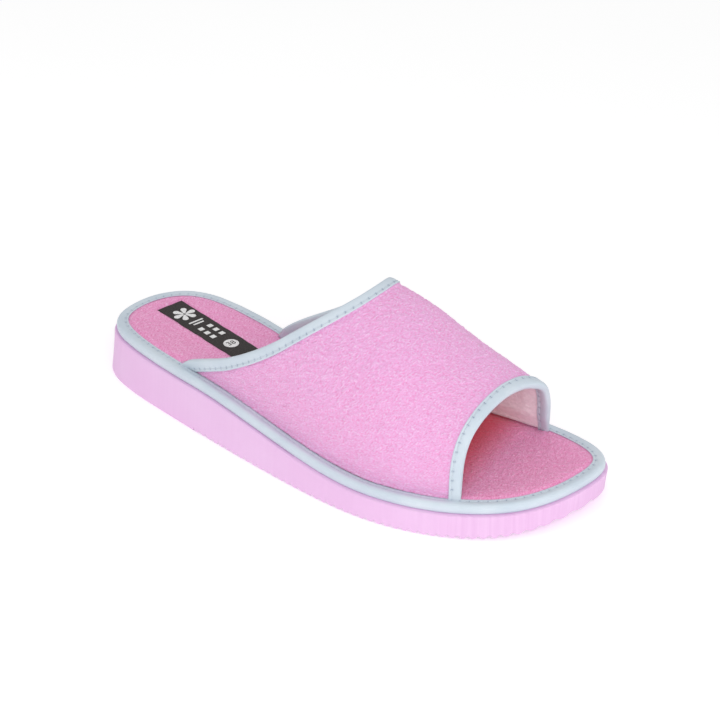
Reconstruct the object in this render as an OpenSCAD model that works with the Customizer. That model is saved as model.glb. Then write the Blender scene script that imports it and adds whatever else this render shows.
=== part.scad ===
// Open-toe terry slipper for the right foot: ribbed foam wedge, padded footbed, taped edges.
// +Z is up, the toe points to -Y, the outer side of the foot is -X.
// The origin is on the floor, under the middle of the sole's outline.

/* [Sole] */
// Length of the sole from heel to toe
sole_len = 257; // [206:1:309]
// Width of the sole's outline, from its outermost to its innermost point
sole_w = 104; // [86:1:125]
// Foam thickness under the heel
heel_t = 21.5; // [17:0.5:26]
// Foam thickness under the ball of the foot
ball_t = 11; // [9:0.5:14]
// Height of the underside at the toe tip
toe_spring = 4.6; // [3:0.1:6]
// Distance between the ribs of the tread
rib_pitch = 4.2; // [3.5:0.1:5.2]
// Depth of the grooves between the ribs
groove_depth = 1.3; // [0.8:0.1:1.8]

/* [Footbed] */
// Thickness of the insole board
board_t = 1.2; // [0.9:0.1:1.8]
// Thickness of the footbed's foam
footbed_foam_t = 1; // [0.7:0.1:2]
// Thickness of the footbed's terry cover
footbed_terry_t = 0.8; // [0.65:0.05:1.2]
// How far the insole unit stands back from the sole's wall
insole_setback = 1.4; // [0.8:0.1:2]

/* [Edge tape] */
// Thickness of the tape
tape_t = 0.5; // [0.4:0.05:0.8]
// Width of the tape on the footbed and under the board
edge_tape_w = 5.4; // [4.4:0.1:7]
// Width of the tape on the upper
upper_tape_w = 6.2; // [5:0.1:7.5]
// Thickness of the sewing thread
thread_t = 0.35; // [0.25:0.05:0.5]
// Length of one stitch of thread
stitch_len = 2.7; // [1.9:0.1:3]
// Stitch spacing along the edge of the footbed and the throat
stitch_pitch = 4; // [3.4:0.1:5]
// Stitch spacing along the toe opening
toe_stitch_pitch = 4.2; // [3.4:0.1:5]

/* [Upper] */
// Thickness of the upper's outer terry
vamp_terry_t = 1.5; // [1.2:0.1:2]
// Thickness of the foam inside the upper
vamp_foam_t = 1.1; // [0.8:0.1:1.6]
// Thickness of the upper's lining
vamp_lining_t = 0.9; // [0.6:0.1:1.2]
// Greatest height of the upper above the footbed
crown_h = 68; // [56:1:80]
// Height of the upper above the footbed at the toe opening
toe_crown_h = 34; // [28:1:41]

/* [Size label] */
// Width of the label bonded to the heel
label_w = 14.2; // [11:0.1:17]
// Length of the label
label_len = 72; // [58:1:80]
// Thickness of the label
label_t = 0.35; // [0.25:0.05:0.5]
// Turn of the label away from the foot's long direction
label_turn = 21.4; // [15:0.1:26]

/* [Hidden] */

gap = 0.05;                       // clearance between layers that lie on each other
outline_n = 120;                  // points round the sole's outline
profile_step = 6;                 // spacing of the stations along the side profile
tiny_angle = 0.3;                 // where the upper's layers start above the footbed

// Heights above the top of the wedge
cement_gap = thread_t + 3 * gap;
board_z = cement_gap + tape_t + gap;
foam_z = board_z + board_t + gap;
terry_z = foam_z + footbed_foam_t + gap;
footbed_z = terry_z + footbed_terry_t;
margin_t = 0.45;                  // upper's margin, squeezed flat by the edge seam
edge_top = footbed_z + gap + tape_t;
vamp_t = vamp_terry_t + vamp_foam_t + vamp_lining_t + 2 * gap;

// Sole outline: a closed spline's control points, in hundredths of width and length,
// from the heel down the outer side to the toe and back up the inner side
outline_ctrl = [[11, 53], [-7, 43], [-22, 26.5], [-49, -8], [-52, -24.5], [-37, -43.5],
    [-1, -50.5], [26, -51.5], [45.5, -22], [16.5, 4], [68, 43]];

// Upper: [station as a share of the length, share of the crown's height]
crown_rise = [[-0.43, 0], [-0.275, 0.46], [-0.12, 0.96], [0.08, 1], [0.31, 0.93]];
// Upper: [station, place of the crown between its outer and inner foot]
crown_place = [[-0.43, 0.62], [-0.235, 0.64], [-0.08, 0.74], [0.08, 0.77], [0.31, 0.61]];
// Edge of the throat and of the toe opening: [angle round the arch, station]
throat_line = [[0, 0.3], [14, 0.174], [36, 0.057], [72, -0.059], [108, -0.073], [144, 0.005],
    [180, 0.192]];
toe_line = [[0, -0.318], [36, -0.315], [72, -0.336], [108, -0.364], [144, -0.364], [180, -0.358]];
outer_roundness = 1;              // power of the arch's outer half, 1 is an ellipse
inner_roundness = 0.87;           // power of its inner, squarer half

// ---------- plain curves ----------

function clamp(v, lo, hi) = min(max(v, lo), hi);
function ease(v) = let (c = clamp(v, 0, 1)) c * c * (3 - 2 * c);
function unit(v) = v / norm(v);

// Point t (0 to 1) of the closed cubic B-spline through the hull of control points
function closed_spline(ctrl, t) =
    let (
        n = len(ctrl),
        i = floor(t * n),
        f = t * n - i,
        g = 1 - f
    )
    (ctrl[(i + n - 1) % n] * g * g * g
        + ctrl[i % n] * (3 * f * f * f - 6 * f * f + 4)
        + ctrl[(i + 1) % n] * (3 * g * g * g - 6 * g * g + 4)
        + ctrl[(i + 2) % n] * f * f * f) / 6;

// Smooth curve through the points of a table of [place, value]
function table_slope(p, i) =
    let (a = max(i - 1, 0), b = min(i + 1, len(p) - 1))
    (p[b][1] - p[a][1]) / (p[b][0] - p[a][0]);
function table_row(p, x, i = 0) =
    i >= len(p) - 2 || x < p[i + 1][0] ? i : table_row(p, x, i + 1);
function smooth_at(p, x) =
    let (
        i = table_row(p, x),
        step = p[i + 1][0] - p[i][0],
        f = clamp((x - p[i][0]) / step, 0, 1),
        g = 1 - f
    )
    p[i][1] * g * g * (1 + 2 * f) + p[i + 1][1] * f * f * (1 + 2 * g)
        + step * f * g * (table_slope(p, i) * g - table_slope(p, i + 1) * f);

// ---------- sole ----------

raw_outline = [for (i = [0:outline_n - 1]) closed_spline(outline_ctrl, i / outline_n)];
raw_x = [for (p = raw_outline) p[0]];
raw_y = [for (p = raw_outline) p[1]];
raw_mid = [(max(raw_x) + min(raw_x)) / 2, (max(raw_y) + min(raw_y)) / 2];
outline_scale = [sole_w / (max(raw_x) - min(raw_x)), sole_len / (max(raw_y) - min(raw_y))];
sole_outline = [for (p = raw_outline)
    [(p[0] - raw_mid[0]) * outline_scale[0], (p[1] - raw_mid[1]) * outline_scale[1]]];

// The outline drawn in by a distance
function inset(d) = [for (i = [0:outline_n - 1])
    let (
        before = sole_outline[(i + outline_n - 1) % outline_n],
        after = sole_outline[(i + 1) % outline_n],
        along = unit(after - before)
    )
    sole_outline[i] + d * [-along[1], along[0]]];

heel_index = search(max(raw_y), raw_y)[0];
toe_index = search(min(raw_y), raw_y)[0];
outer_count = (toe_index - heel_index + outline_n) % outline_n;

// [y, x] tables of the outer and the inner side of an inset outline
function outer_side(line) = [for (k = [0:outer_count])
    let (p = line[(heel_index + k) % outline_n]) [p[1], p[0]]];
function inner_side(line) = [for (k = [0:outline_n - outer_count])
    let (p = line[(toe_index + k) % outline_n]) [p[1], p[0]]];

arch_front = -0.16 * sole_len;
arch_back = 0.245 * sole_len;
spring_start = -0.25 * sole_len;
toe_thinning = 1.2;

function spring_at(y) =
    pow(max(0, spring_start - y) / (spring_start + sole_len / 2), 2);
function sole_top(y) =
    ball_t + (heel_t - ball_t) * ease((y - arch_front) / (arch_back - arch_front))
        + (toe_spring - toe_thinning) * spring_at(y);
function sole_bottom(y) = toe_spring * spring_at(y);
function footbed_top(y) = sole_top(y) + footbed_z;

profile_half = sole_len / 2 + profile_step;
stations = [for (y = [-profile_half:profile_step:profile_half]) y];

// A band of the side profile, between two heights above the wedge, across the whole width
module profile_band(low, high) {
    rotate([90, 0, 90])
        linear_extrude(height = 2 * sole_w, center = true)
            polygon(concat(
                [for (y = stations) [y, sole_top(y) + low]],
                [for (i = [len(stations) - 1:-1:0]) [stations[i], sole_top(stations[i]) + high]]
            ));
}

module column(line) {
    translate([0, 0, -1])
        linear_extrude(height = heel_t + toe_spring + footbed_z + 10)
            polygon(line);
}

module layer(line, low, high) {
    intersection() {
        column(line);
        profile_band(low, high);
    }
}

tread_front = -sole_len / 2 + 2;
tread_back = 0.25 * sole_len;
rib_count = floor((tread_back - tread_front) / rib_pitch);
rib_land = 0.45 * rib_pitch;

// Underside from toe to heel: flat-topped ribs with rounded grooves between them
tread_points = [for (k = [0:rib_count - 1])
    let (y = tread_front + k * rib_pitch)
    each concat(
        [[y, sole_bottom(y)]],
        [for (a = [0:45:180])
            let (gy = y + rib_land + (rib_pitch - rib_land) * (1 - cos(a)) / 2)
            [gy, sole_bottom(gy) + groove_depth * sin(a)]]
    )];

module outsole() {
    color("#e9b8ea")
        intersection() {
            column(sole_outline);
            rotate([90, 0, 90])
                linear_extrude(height = 2 * sole_w, center = true)
                    polygon(concat(
                        [[-profile_half, sole_bottom(-profile_half)]],
                        tread_points,
                        [[tread_front + rib_count * rib_pitch, 0], [profile_half, 0]],
                        [for (i = [len(stations) - 1:-1:0])
                            [stations[i], sole_top(stations[i])]]
                    ));
        }
}

// ---------- footbed ----------

board_line = inset(insole_setback + tape_t + gap);
tape_line = inset(insole_setback);
tape_edge_line = inset(insole_setback + edge_tape_w);
margin_line = inset(insole_setback + edge_tape_w + vamp_terry_t + 7 * gap);

module insole_board() {
    color("#a98f6c")
        layer(board_line, board_z, board_z + board_t);
}

module footbed_foam() {
    color("#f2eee2")
        layer(board_line, foam_z, foam_z + footbed_foam_t);
}

// Where the upper's margin is squeezed into the terry, on one side of the footbed
module margin_pocket(front_y, back_y, side) {
    reach = gap + 0.3;
    low_y = front_y - reach;
    high_y = back_y + reach;
    difference() {
        intersection() {
            profile_band(footbed_z - margin_t - 3 * gap, footbed_z + 1);
            translate([side > 0 ? 0 : -sole_w, low_y, 0])
                cube([sole_w, high_y - low_y, 2 * heel_t]);
        }
        column(margin_line);
    }
}

function throat_at(a) = smooth_at(throat_line, a) * sole_len;
function toe_at(a) = smooth_at(toe_line, a) * sole_len;

module footbed_terry() {
    color("#db8fbe")
        difference() {
            layer(board_line, terry_z, footbed_z);
            margin_pocket(toe_at(0), throat_at(0), -1);
            margin_pocket(toe_at(180), throat_at(180), 1);
        }
}

// Tape folded round the edge of the footbed, from under the board to the top
module insole_binding() {
    color("#c8d4de")
        difference() {
            layer(tape_line, cement_gap, edge_top);
            layer(board_line, cement_gap + tape_t, footbed_z + gap);
            column(tape_edge_line);
        }
}

function chain_lengths(pts) = [for (i = 0, a = 0; i < len(pts);
    a = a + (i + 1 < len(pts) ? norm(pts[i + 1] - pts[i]) : 0), i = i + 1) a];

// A short bar of thread, lying along one direction and standing on another
module stitch(place, along, up) {
    side = unit(cross(up, along));
    rise = unit(cross(along, side));
    multmatrix([
        [along[0], side[0], rise[0], place[0]],
        [along[1], side[1], rise[1], place[1]],
        [along[2], side[2], rise[2], place[2]],
        [0, 0, 0, 1]
    ])
        translate([0, 0, thread_t / 2])
            cube([stitch_len, thread_t * 1.4, thread_t], center = true);
}

seam_inset = 1.3;                 // distance from the tape's edge to its stitches

// Stitches round the footbed's edge tape, at a height above the wedge
module edge_stitches(height) {
    line = inset(insole_setback + edge_tape_w - seam_inset);
    closed = concat(line, [line[0]]);
    pts = [for (p = closed) [p[0], p[1], sole_top(p[1]) + height]];
    run = chain_lengths(pts);
    count = floor(run[len(run) - 1] / stitch_pitch);
    pitch = run[len(run) - 1] / count;
    rows = [for (i = [0:len(run) - 1]) [run[i], i]];
    for (k = [0:count - 1]) {
        at = lookup((k + 0.5) * pitch, rows);
        i = min(floor(at), outline_n - 1);
        along = unit(pts[i + 1] - pts[i]);
        stitch(pts[i] + (at - i) * (pts[i + 1] - pts[i]), along, [0, 0, 1]);
    }
}

seam_lift = 0.12;                 // keeps a straight stitch off the curved tape

module insole_needle_thread() {
    color("#a9b9c8")
        edge_stitches(edge_top + seam_lift);
}

module insole_bobbin_thread() {
    color("#a9b9c8")
        edge_stitches(1.5 * gap);
}

// ---------- upper ----------

foot_line = inset(insole_setback + edge_tape_w + 4 * gap);
outer_foot = outer_side(foot_line);
inner_foot = inner_side(foot_line);
outer_margin = outer_side(inset(insole_setback + tape_t + 3 * gap));
inner_margin = inner_side(inset(insole_setback + tape_t + 3 * gap));

function arch_height(y) =
    toe_crown_h * 0.8 + (crown_h - toe_crown_h * 0.8) * smooth_at(crown_rise, y / sole_len);

// The outer face of the upper, at a station and an angle round the arch from the outer side
function skin(y, a) =
    let (
        x_out = lookup(y, outer_foot),
        x_in = lookup(y, inner_foot),
        x_top = x_out + (x_in - x_out) * smooth_at(crown_place, y / sole_len),
        power = a < 90 ? outer_roundness : inner_roundness,
        reach = pow(abs(cos(a)), power),
        rise = pow(max(0, sin(a)), power)
    )
    [
        a < 90 ? x_top - (x_top - x_out) * reach : x_top + (x_in - x_top) * reach,
        y,
        footbed_top(y) + arch_height(y) * rise
    ];

angle_step = 0.5;
side_step = 1;
function skin_round(y, a) =
    let (m = clamp(a, angle_step, 180 - angle_step))
    (skin(y, m + angle_step / 2) - skin(y, m - angle_step / 2)) / angle_step;
function skin_along(y, a) = (skin(y + side_step / 2, a) - skin(y - side_step / 2, a)) / side_step;
function skin_normal(y, a) = unit(cross(skin_round(y, a), skin_along(y, a)));

arch_n = 32;                      // steps round the arch
band_n = 16;                      // steps from the throat to the toe opening
arch_angles = [for (i = [0:arch_n]) tiny_angle + (180 - 2 * tiny_angle) * i / arch_n];
band_shares = [for (j = [0:band_n]) j / band_n];

function band_y(a, share) = throat_at(a) * (1 - share) + toe_at(a) * share;
function below_skin(a, share, depth) =
    let (y = band_y(a, share))
    skin(y, a) - depth * skin_normal(y, a);

// Walls between a strip's outer and inner points, at the first and the last strip
function end_faces(base, half, flip) = [for (i = [0:half - 2])
    each let (
        a = base + i,
        b = base + i + 1,
        c = base + 2 * half - 1 - i,
        d = base + 2 * half - 2 - i
    )
    flip ? [[a, c, b], [b, c, d]] : [[a, b, c], [b, d, c]]];

// Solid between two chains of points, given for every strip in order
module sheet_solid(outer, inner) {
    strips = len(outer);
    half = len(outer[0]);
    ring = 2 * half;
    points = [for (j = [0:strips - 1])
        each concat(outer[j], [for (i = [half - 1:-1:0]) inner[j][i]])];
    sides = [for (j = [0:strips - 2], i = [0:ring - 1])
        each let (
            a = j * ring + i,
            b = j * ring + (i + 1) % ring,
            c = a + ring,
            d = b + ring
        )
        i < half ? [[a, b, c], [b, d, c]] : [[a, b, d], [a, d, c]]];
    polyhedron(points = points, faces = concat(
        end_faces(0, half, true),
        sides,
        end_faces((strips - 1) * ring, half, false)
    ));
}

module upper_layer(top_depth, thickness) {
    sheet_solid(
        [for (s = band_shares) [for (a = arch_angles) below_skin(a, s, top_depth)]],
        [for (s = band_shares) [for (a = arch_angles) below_skin(a, s, top_depth + thickness)]]
    );
}

// The outer terry carries the margin that is sewn under the edge tape
function margin_point(y, table, depth) = [lookup(y, table), y, footbed_top(y) - depth];
function foot_point(y, table, side, depth) =
    [lookup(y, table) + side * depth, y, footbed_top(y) - gap - (depth > 0 ? margin_t : 0)];
function terry_strip(share, depth) =
    let (
        y_out = band_y(0, share),
        y_in = band_y(180, share),
        drop = gap + (depth > 0 ? margin_t : 0)
    )
    concat(
        [margin_point(y_out, outer_margin, drop), foot_point(y_out, outer_foot, 1, depth)],
        [for (a = arch_angles) below_skin(a, share, depth)],
        [foot_point(y_in, inner_foot, -1, depth), margin_point(y_in, inner_margin, drop)]
    );

module vamp_terry() {
    color("#eea6db")
        sheet_solid(
            [for (s = band_shares) terry_strip(s, 0)],
            [for (s = band_shares) terry_strip(s, vamp_terry_t)]
        );
}

module vamp_foam() {
    color("#f6f1e6")
        upper_layer(vamp_terry_t + gap, vamp_foam_t);
}

module vamp_lining() {
    color("#f0cdd6")
        upper_layer(vamp_terry_t + vamp_foam_t + 2 * gap, vamp_lining_t);
}

// ---------- tape round the upper's edges ----------

// Direction into the upper at its edge, square to the edge: [share of y, share of angle]
function edge_station(a, is_toe) = is_toe ? toe_at(a) : throat_at(a);
function edge_tangent(a, is_toe) =
    let (m = clamp(a, angle_step, 180 - angle_step))
    unit(skin(edge_station(m + angle_step, is_toe), m + angle_step)
        - skin(edge_station(m - angle_step, is_toe), m - angle_step));
function edge_inward(a, is_toe) =
    let (c = cross(skin_normal(edge_station(a, is_toe), a), edge_tangent(a, is_toe)))
    is_toe ? unit(c) : -unit(c);

// Walk over the skin from [y, angle] along a space direction, in equal steps
function walk(at, direction, step, steps) =
    steps == 0 ? at :
    let (
        r = skin_round(at[0], at[1]),
        l = skin_along(at[0], at[1]),
        rr = r * r,
        rl = r * l,
        ll = l * l,
        det = rr * ll - rl * rl,
        pr = direction * r,
        pl = direction * l,
        da = (pr * ll - pl * rl) / det,
        dy = (pl * rr - pr * rl) / det
    )
    walk(
        [at[0] + dy * step, clamp(at[1] + da * step, tiny_angle, 180 - tiny_angle)],
        direction, step, steps - 1
    );

tape_gap = gap + 0.05;
walk_steps = 3;
walk_step = (upper_tape_w - 1.5) / walk_steps;
roll_reach = 1.3;                 // how far the rolled tape stands past the cut edge

// One section of the tape: flat on the skin, rolled round the cut edge, flat on the lining
function tape_section(a, is_toe, height) =
    let (
        y = edge_station(a, is_toe),
        into = edge_inward(a, is_toe),
        up = skin_normal(y, a),
        edge = skin(y, a),
        flats = [for (k = [walk_steps:-1:0])
            let (w = walk([y, a], into, walk_step, k)) [skin(w[0], w[1]), skin_normal(w[0], w[1])]],
        middle = -vamp_t / 2,
        radius = vamp_t / 2 + height
    )
    concat(
        [for (f = flats) f[0] + height * f[1]],
        [for (t = [60:-30:-60])
            edge - (roll_reach + height) * cos(t) * into + (middle + radius * sin(t)) * up],
        [for (k = [len(flats) - 1:-1:0]) flats[k][0] - (vamp_t + height) * flats[k][1]]
    );

tape_n = 44;                      // sections along a tape
tape_angles = [for (i = [0:tape_n]) tiny_angle + (180 - 2 * tiny_angle) * i / tape_n];

module upper_tape(is_toe) {
    outer = [for (a = tape_angles) tape_section(a, is_toe, tape_gap + tape_t)];
    inner = [for (a = tape_angles) tape_section(a, is_toe, tape_gap)];
    if (is_toe) sheet_solid(outer, inner);
    else sheet_solid(inner, outer);
}

module throat_binding() {
    color("#d2dde6")
        upper_tape(false);
}

module toe_binding() {
    color("#d2dde6")
        upper_tape(true);
}

thread_angles = [for (a = [6:2:174]) a];
thread_inset = upper_tape_w - 1.5 - seam_inset;

// Stitches along a tape of the upper, on its outer face or on the lining
module tape_stitches(is_toe, pitch, on_lining) {
    lift = on_lining ? -(vamp_t + tape_gap + tape_t + seam_lift + thread_t)
        : tape_gap + tape_t + seam_lift;
    spots = [for (a = thread_angles)
        walk([edge_station(a, is_toe), a], edge_inward(a, is_toe), thread_inset / 2, 2)];
    pts = [for (s = spots) skin(s[0], s[1]) + lift * skin_normal(s[0], s[1])];
    run = chain_lengths(pts);
    rows = [for (i = [0:len(run) - 1]) [run[i], i]];
    count = floor(run[len(run) - 1] / pitch);
    for (k = [0:count - 1]) {
        at = lookup((k + 0.5) * pitch, rows);
        i = min(floor(at), len(pts) - 2);
        along = unit(pts[i + 1] - pts[i]);
        up = skin_normal(spots[i][0], spots[i][1]);
        stitch(pts[i] + (at - i) * (pts[i + 1] - pts[i]), along, up);
    }
}

module throat_needle_thread() {
    color("#a9b9c8")
        tape_stitches(false, stitch_pitch, false);
}

module throat_bobbin_thread() {
    color("#a9b9c8")
        tape_stitches(false, stitch_pitch, true);
}

module toe_needle_thread() {
    color("#a9b9c8")
        tape_stitches(true, toe_stitch_pitch, false);
}

module toe_bobbin_thread() {
    color("#a9b9c8")
        tape_stitches(true, toe_stitch_pitch, true);
}

// ---------- size label ----------

label_start = [0.30 * sole_w, 0.427 * sole_len];   // middle of the label's heel end
label_z = footbed_z + gap;
print_z = label_z + label_t + gap;
print_t = 0.1;

// Places its children along the label: x across it, y from its heel end
module on_label(low, high) {
    intersection() {
        translate([label_start[0], label_start[1], 0])
            rotate(180 - label_turn)
                linear_extrude(height = 2 * heel_t + 20)
                    children();
        profile_band(low, high);
    }
}

module size_label() {
    color("#2d2a2b")
        on_label(label_z, label_z + label_t)
            translate([-label_w / 2, 0])
                square([label_w, label_len]);
}

petal_count = 6;
petal_reach = 4.1;

module petal() {
    hull() {
        circle(r = 0.5, $fn = 24);
        translate([petal_reach - 0.8, 0])
            circle(r = 1.5, $fn = 24);
    }
}

disc_y = 48.5;                    // distance of the size disc from the heel end
disc_r = 3.7;

module label_print() {
    color("#f2f2f2")
        on_label(print_z, print_z + print_t) {
            translate([0, 12])
                for (k = [0:petal_count - 1])
                    rotate(k * 360 / petal_count)
                        translate([1.1, 0])
                            petal();
            for (k = [0:1])
                translate([-4 + k, 20.5 + 2.2 * k])
                    square([8 - 2 * k, 1]);
            for (row = [0:2], col = [-1, 1])
                translate([2.6 * col - 1.3, 27.5 + 4.6 * row])
                    square([2.6, 2.6]);
        }
}

module size_disc() {
    color("#f2f2f2")
        on_label(print_z, print_z + print_t)
            translate([0, disc_y])
                circle(r = disc_r, $fn = 48);
}

outsole();
insole_board();
footbed_foam();
footbed_terry();
insole_binding();
insole_needle_thread();
insole_bobbin_thread();
vamp_terry();
vamp_foam();
vamp_lining();
throat_binding();
throat_needle_thread();
throat_bobbin_thread();
toe_binding();
toe_needle_thread();
toe_bobbin_thread();
size_label();
label_print();
size_disc();
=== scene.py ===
import math

import bpy
import numpy as np
from bpy.props import FloatProperty, FloatVectorProperty, PointerProperty
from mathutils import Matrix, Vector


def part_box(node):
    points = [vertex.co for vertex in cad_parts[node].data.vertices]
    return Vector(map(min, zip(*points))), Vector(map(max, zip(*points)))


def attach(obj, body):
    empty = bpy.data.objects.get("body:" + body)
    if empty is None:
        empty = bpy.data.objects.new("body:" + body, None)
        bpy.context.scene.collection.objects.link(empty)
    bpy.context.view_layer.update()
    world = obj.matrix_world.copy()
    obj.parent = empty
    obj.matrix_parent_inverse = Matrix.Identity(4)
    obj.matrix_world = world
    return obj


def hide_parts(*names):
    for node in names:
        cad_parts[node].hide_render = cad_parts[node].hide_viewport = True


bl_info = {
    "name": "Open-toe terry slipper",
    "version": (1, 0, 0),
    "blender": (4, 5, 0),
    "location": "3D View > Sidebar > Slipper",
    "description": "Builds a right-foot terry slipper with a ribbed foam wedge and taped edges",
    "category": "Object",
}

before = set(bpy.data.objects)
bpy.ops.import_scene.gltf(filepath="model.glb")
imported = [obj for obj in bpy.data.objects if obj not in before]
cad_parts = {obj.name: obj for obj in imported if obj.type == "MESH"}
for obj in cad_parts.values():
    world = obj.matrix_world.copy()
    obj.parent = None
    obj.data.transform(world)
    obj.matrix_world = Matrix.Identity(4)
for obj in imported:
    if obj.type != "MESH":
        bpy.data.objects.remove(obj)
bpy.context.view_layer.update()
SOLE_LOW, SOLE_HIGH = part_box("outsole")
MM = 0.001


def colour(red, green, blue):
    """Linear colour of an 8-bit display colour."""
    return tuple(((v / 255 + 0.055) / 1.055) ** 2.4 if v > 10 else v / 3294.6
                 for v in (red, green, blue))


def length_prop(name, description, default):
    return FloatProperty(name=name, description=description, default=default, min=0.0,
                         precision=5, subtype="DISTANCE", unit="LENGTH")


def colour_prop(name, description, default):
    return FloatVectorProperty(name=name, description=description, default=default,
                               subtype="COLOR", size=3, min=0.0, max=1.0)


class SlipperSizes(bpy.types.PropertyGroup):
    """Sizes of the slipper's pieces"""
    sole_len: length_prop("Sole length", "Heel to toe", SOLE_HIGH.y - SOLE_LOW.y)
    sole_w: length_prop("Sole width", "Width of the sole's outline", SOLE_HIGH.x - SOLE_LOW.x)
    heel_t: length_prop("Heel thickness", "Foam under the heel", SOLE_HIGH.z)
    ball_t: length_prop("Ball thickness", "Foam under the ball of the foot", 0.011)
    toe_spring: length_prop("Toe spring", "Height of the underside at the toe tip", 0.0046)
    rib_pitch: length_prop("Rib pitch", "Distance between the ribs of the tread", 0.0042)
    groove_depth: length_prop("Groove depth", "Depth of the grooves in the tread", 0.0012)
    heel_flare: length_prop("Heel flare", "How far the foam flares out under the heel", 0.0022)
    crown_h: length_prop("Crown height", "Greatest height of the upper over the footbed", 0.068)
    toe_crown_h: length_prop("Toe crown height", "Height of the upper at the toe", 0.034)
    edge_tape_w: length_prop("Edge tape width", "Width of the tape on the footbed", 0.0054)
    upper_tape_w: length_prop("Upper tape width", "Width of the tape on the upper", 0.0062)
    thread_t: length_prop("Thread thickness", "Thickness of the sewing thread", 0.00042)
    stitch_pitch: length_prop("Stitch pitch", "Stitch spacing on footbed and throat", 0.004)
    toe_stitch_pitch: length_prop("Toe stitch pitch", "Stitch spacing at the toe", 0.0042)
    pile_height: length_prop("Pile height", "Height of the terry's loops", 0.00042)
    puff: length_prop("Puff", "How far the padding may swell between its seams", 0.0014)
    label_w: length_prop("Label width", "Width of the size label", 0.0142)
    label_len: length_prop("Label length", "Length of the size label", 0.072)


class SlipperColours(bpy.types.PropertyGroup):
    """Colours of the slipper's materials"""
    foam: colour_prop("Sole foam", "Colour of the wedge", colour(231, 192, 229))
    terry: colour_prop("Upper terry", "Tips of the upper's loops", colour(237, 180, 226))
    # Painted shade at the foot of the upper's terry loops.
    terry_loop_shade: colour_prop("Upper terry, deep", "Foot of the upper's loops", colour(234, 146, 200))
    footbed: colour_prop("Footbed terry", "Tips of the footbed's loops", colour(243, 165, 212))
    # Painted shade at the foot of the footbed's terry loops.
    footbed_loop_shade: colour_prop("Footbed terry, deep", "Foot of the loops", colour(222, 126, 175))
    lining: colour_prop("Lining", "Brushed lining of the upper", colour(255, 241, 245))
    tape: colour_prop("Edge tape", "Satin tape round every edge", colour(209, 219, 227))
    thread: colour_prop("Thread", "Sewing thread", colour(205, 216, 226))
    label: colour_prop("Label", "Ground of the size label", colour(44, 40, 39))
    floor: colour_prop("Floor", "Studio floor", colour(255, 255, 255))


# ---------- the slipper's form ----------

GAP = 0.05 * MM
TAPE_T = 0.5 * MM
BOARD_T = 1.2 * MM
FOOTBED_FOAM_T = 1.0 * MM
FOOTBED_TERRY_T = 0.8 * MM
SETBACK = 1.4 * MM
TERRY_T = 1.5 * MM
FOAM_T = 1.1 * MM
LINING_T = 0.9 * MM
SEAM_INSET = 1.3 * MM
ROLL_REACH = 0.35 * MM
CAD_THREAD_T = 0.35 * MM
LABEL_TURN = 21.4
TOE_THINNING = 1.2 * MM

# Control points of the sole's outline, in hundredths of its width and length
OUTLINE_CONTROL = np.array([
    [11, 53], [-7, 43], [-22, 26.5], [-49, -8], [-52, -24.5], [-37, -43.5],
    [-1, -50.5], [26, -51.5], [45.5, -22], [16.5, 4], [68, 43]], float)
# Tables of [place, value]: places are shares of the length, or degrees round the arch
CROWN_RISE = np.array([[-0.43, 0], [-0.275, 0.46], [-0.12, 0.96], [0.08, 1], [0.31, 0.93]])
CROWN_PLACE = np.array([[-0.43, 0.62], [-0.235, 0.64], [-0.08, 0.74], [0.08, 0.77], [0.31, 0.61]])
THROAT_LINE = np.array([[0, 0.3], [14, 0.174], [36, 0.057], [72, -0.059], [108, -0.073],
                        [144, 0.005], [180, 0.192]])
TOE_LINE = np.array([[0, -0.318], [36, -0.315], [72, -0.336], [108, -0.364], [144, -0.364],
                     [180, -0.358]])
INNER_ROUNDNESS = 0.87
# Angles round the arch at which the upper's two feet end
ARCH_ENDS = (0.3, 179.7)
# Part of the upper tape's width that goes into its roll
TAPE_ROLL = 1.5 * MM


def unit(v):
    return v / np.linalg.norm(v, axis=-1, keepdims=True)


def smooth_at(table, x):
    """Smooth curve through the rows of a table."""
    place, value = table.T
    last = len(place) - 1
    before = np.maximum(np.arange(last + 1) - 1, 0)
    after = np.minimum(np.arange(last + 1) + 1, last)
    slope = (value[after] - value[before]) / (place[after] - place[before])
    i = np.clip(np.searchsorted(place, x, side="right") - 1, 0, last - 1)
    step = place[i + 1] - place[i]
    f = np.clip((x - place[i]) / step, 0, 1)
    g = 1 - f
    return (value[i] * g * g * (1 + 2 * f) + value[i + 1] * f * f * (1 + 2 * g)
            + step * f * g * (slope[i] * g - slope[i + 1] * f))


def run_along(points):
    """Distance along a chain to each of its points."""
    return np.concatenate([[0], np.cumsum(np.linalg.norm(np.diff(points, axis=0), axis=1))])


def ease(v):
    c = np.clip(v, 0, 1)
    return c * c * (3 - 2 * c)


def closed_spline(control, count):
    n = len(control)
    t = np.arange(count) / count * n
    i = np.floor(t).astype(int)
    f = (t - i)[:, None]
    g = 1 - f
    return (control[(i - 1) % n] * g ** 3 + control[i % n] * (3 * f ** 3 - 6 * f * f + 4)
            + control[(i + 1) % n] * (3 * g ** 3 - 6 * g * g + 4)
            + control[(i + 2) % n] * f ** 3) / 6


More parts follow.
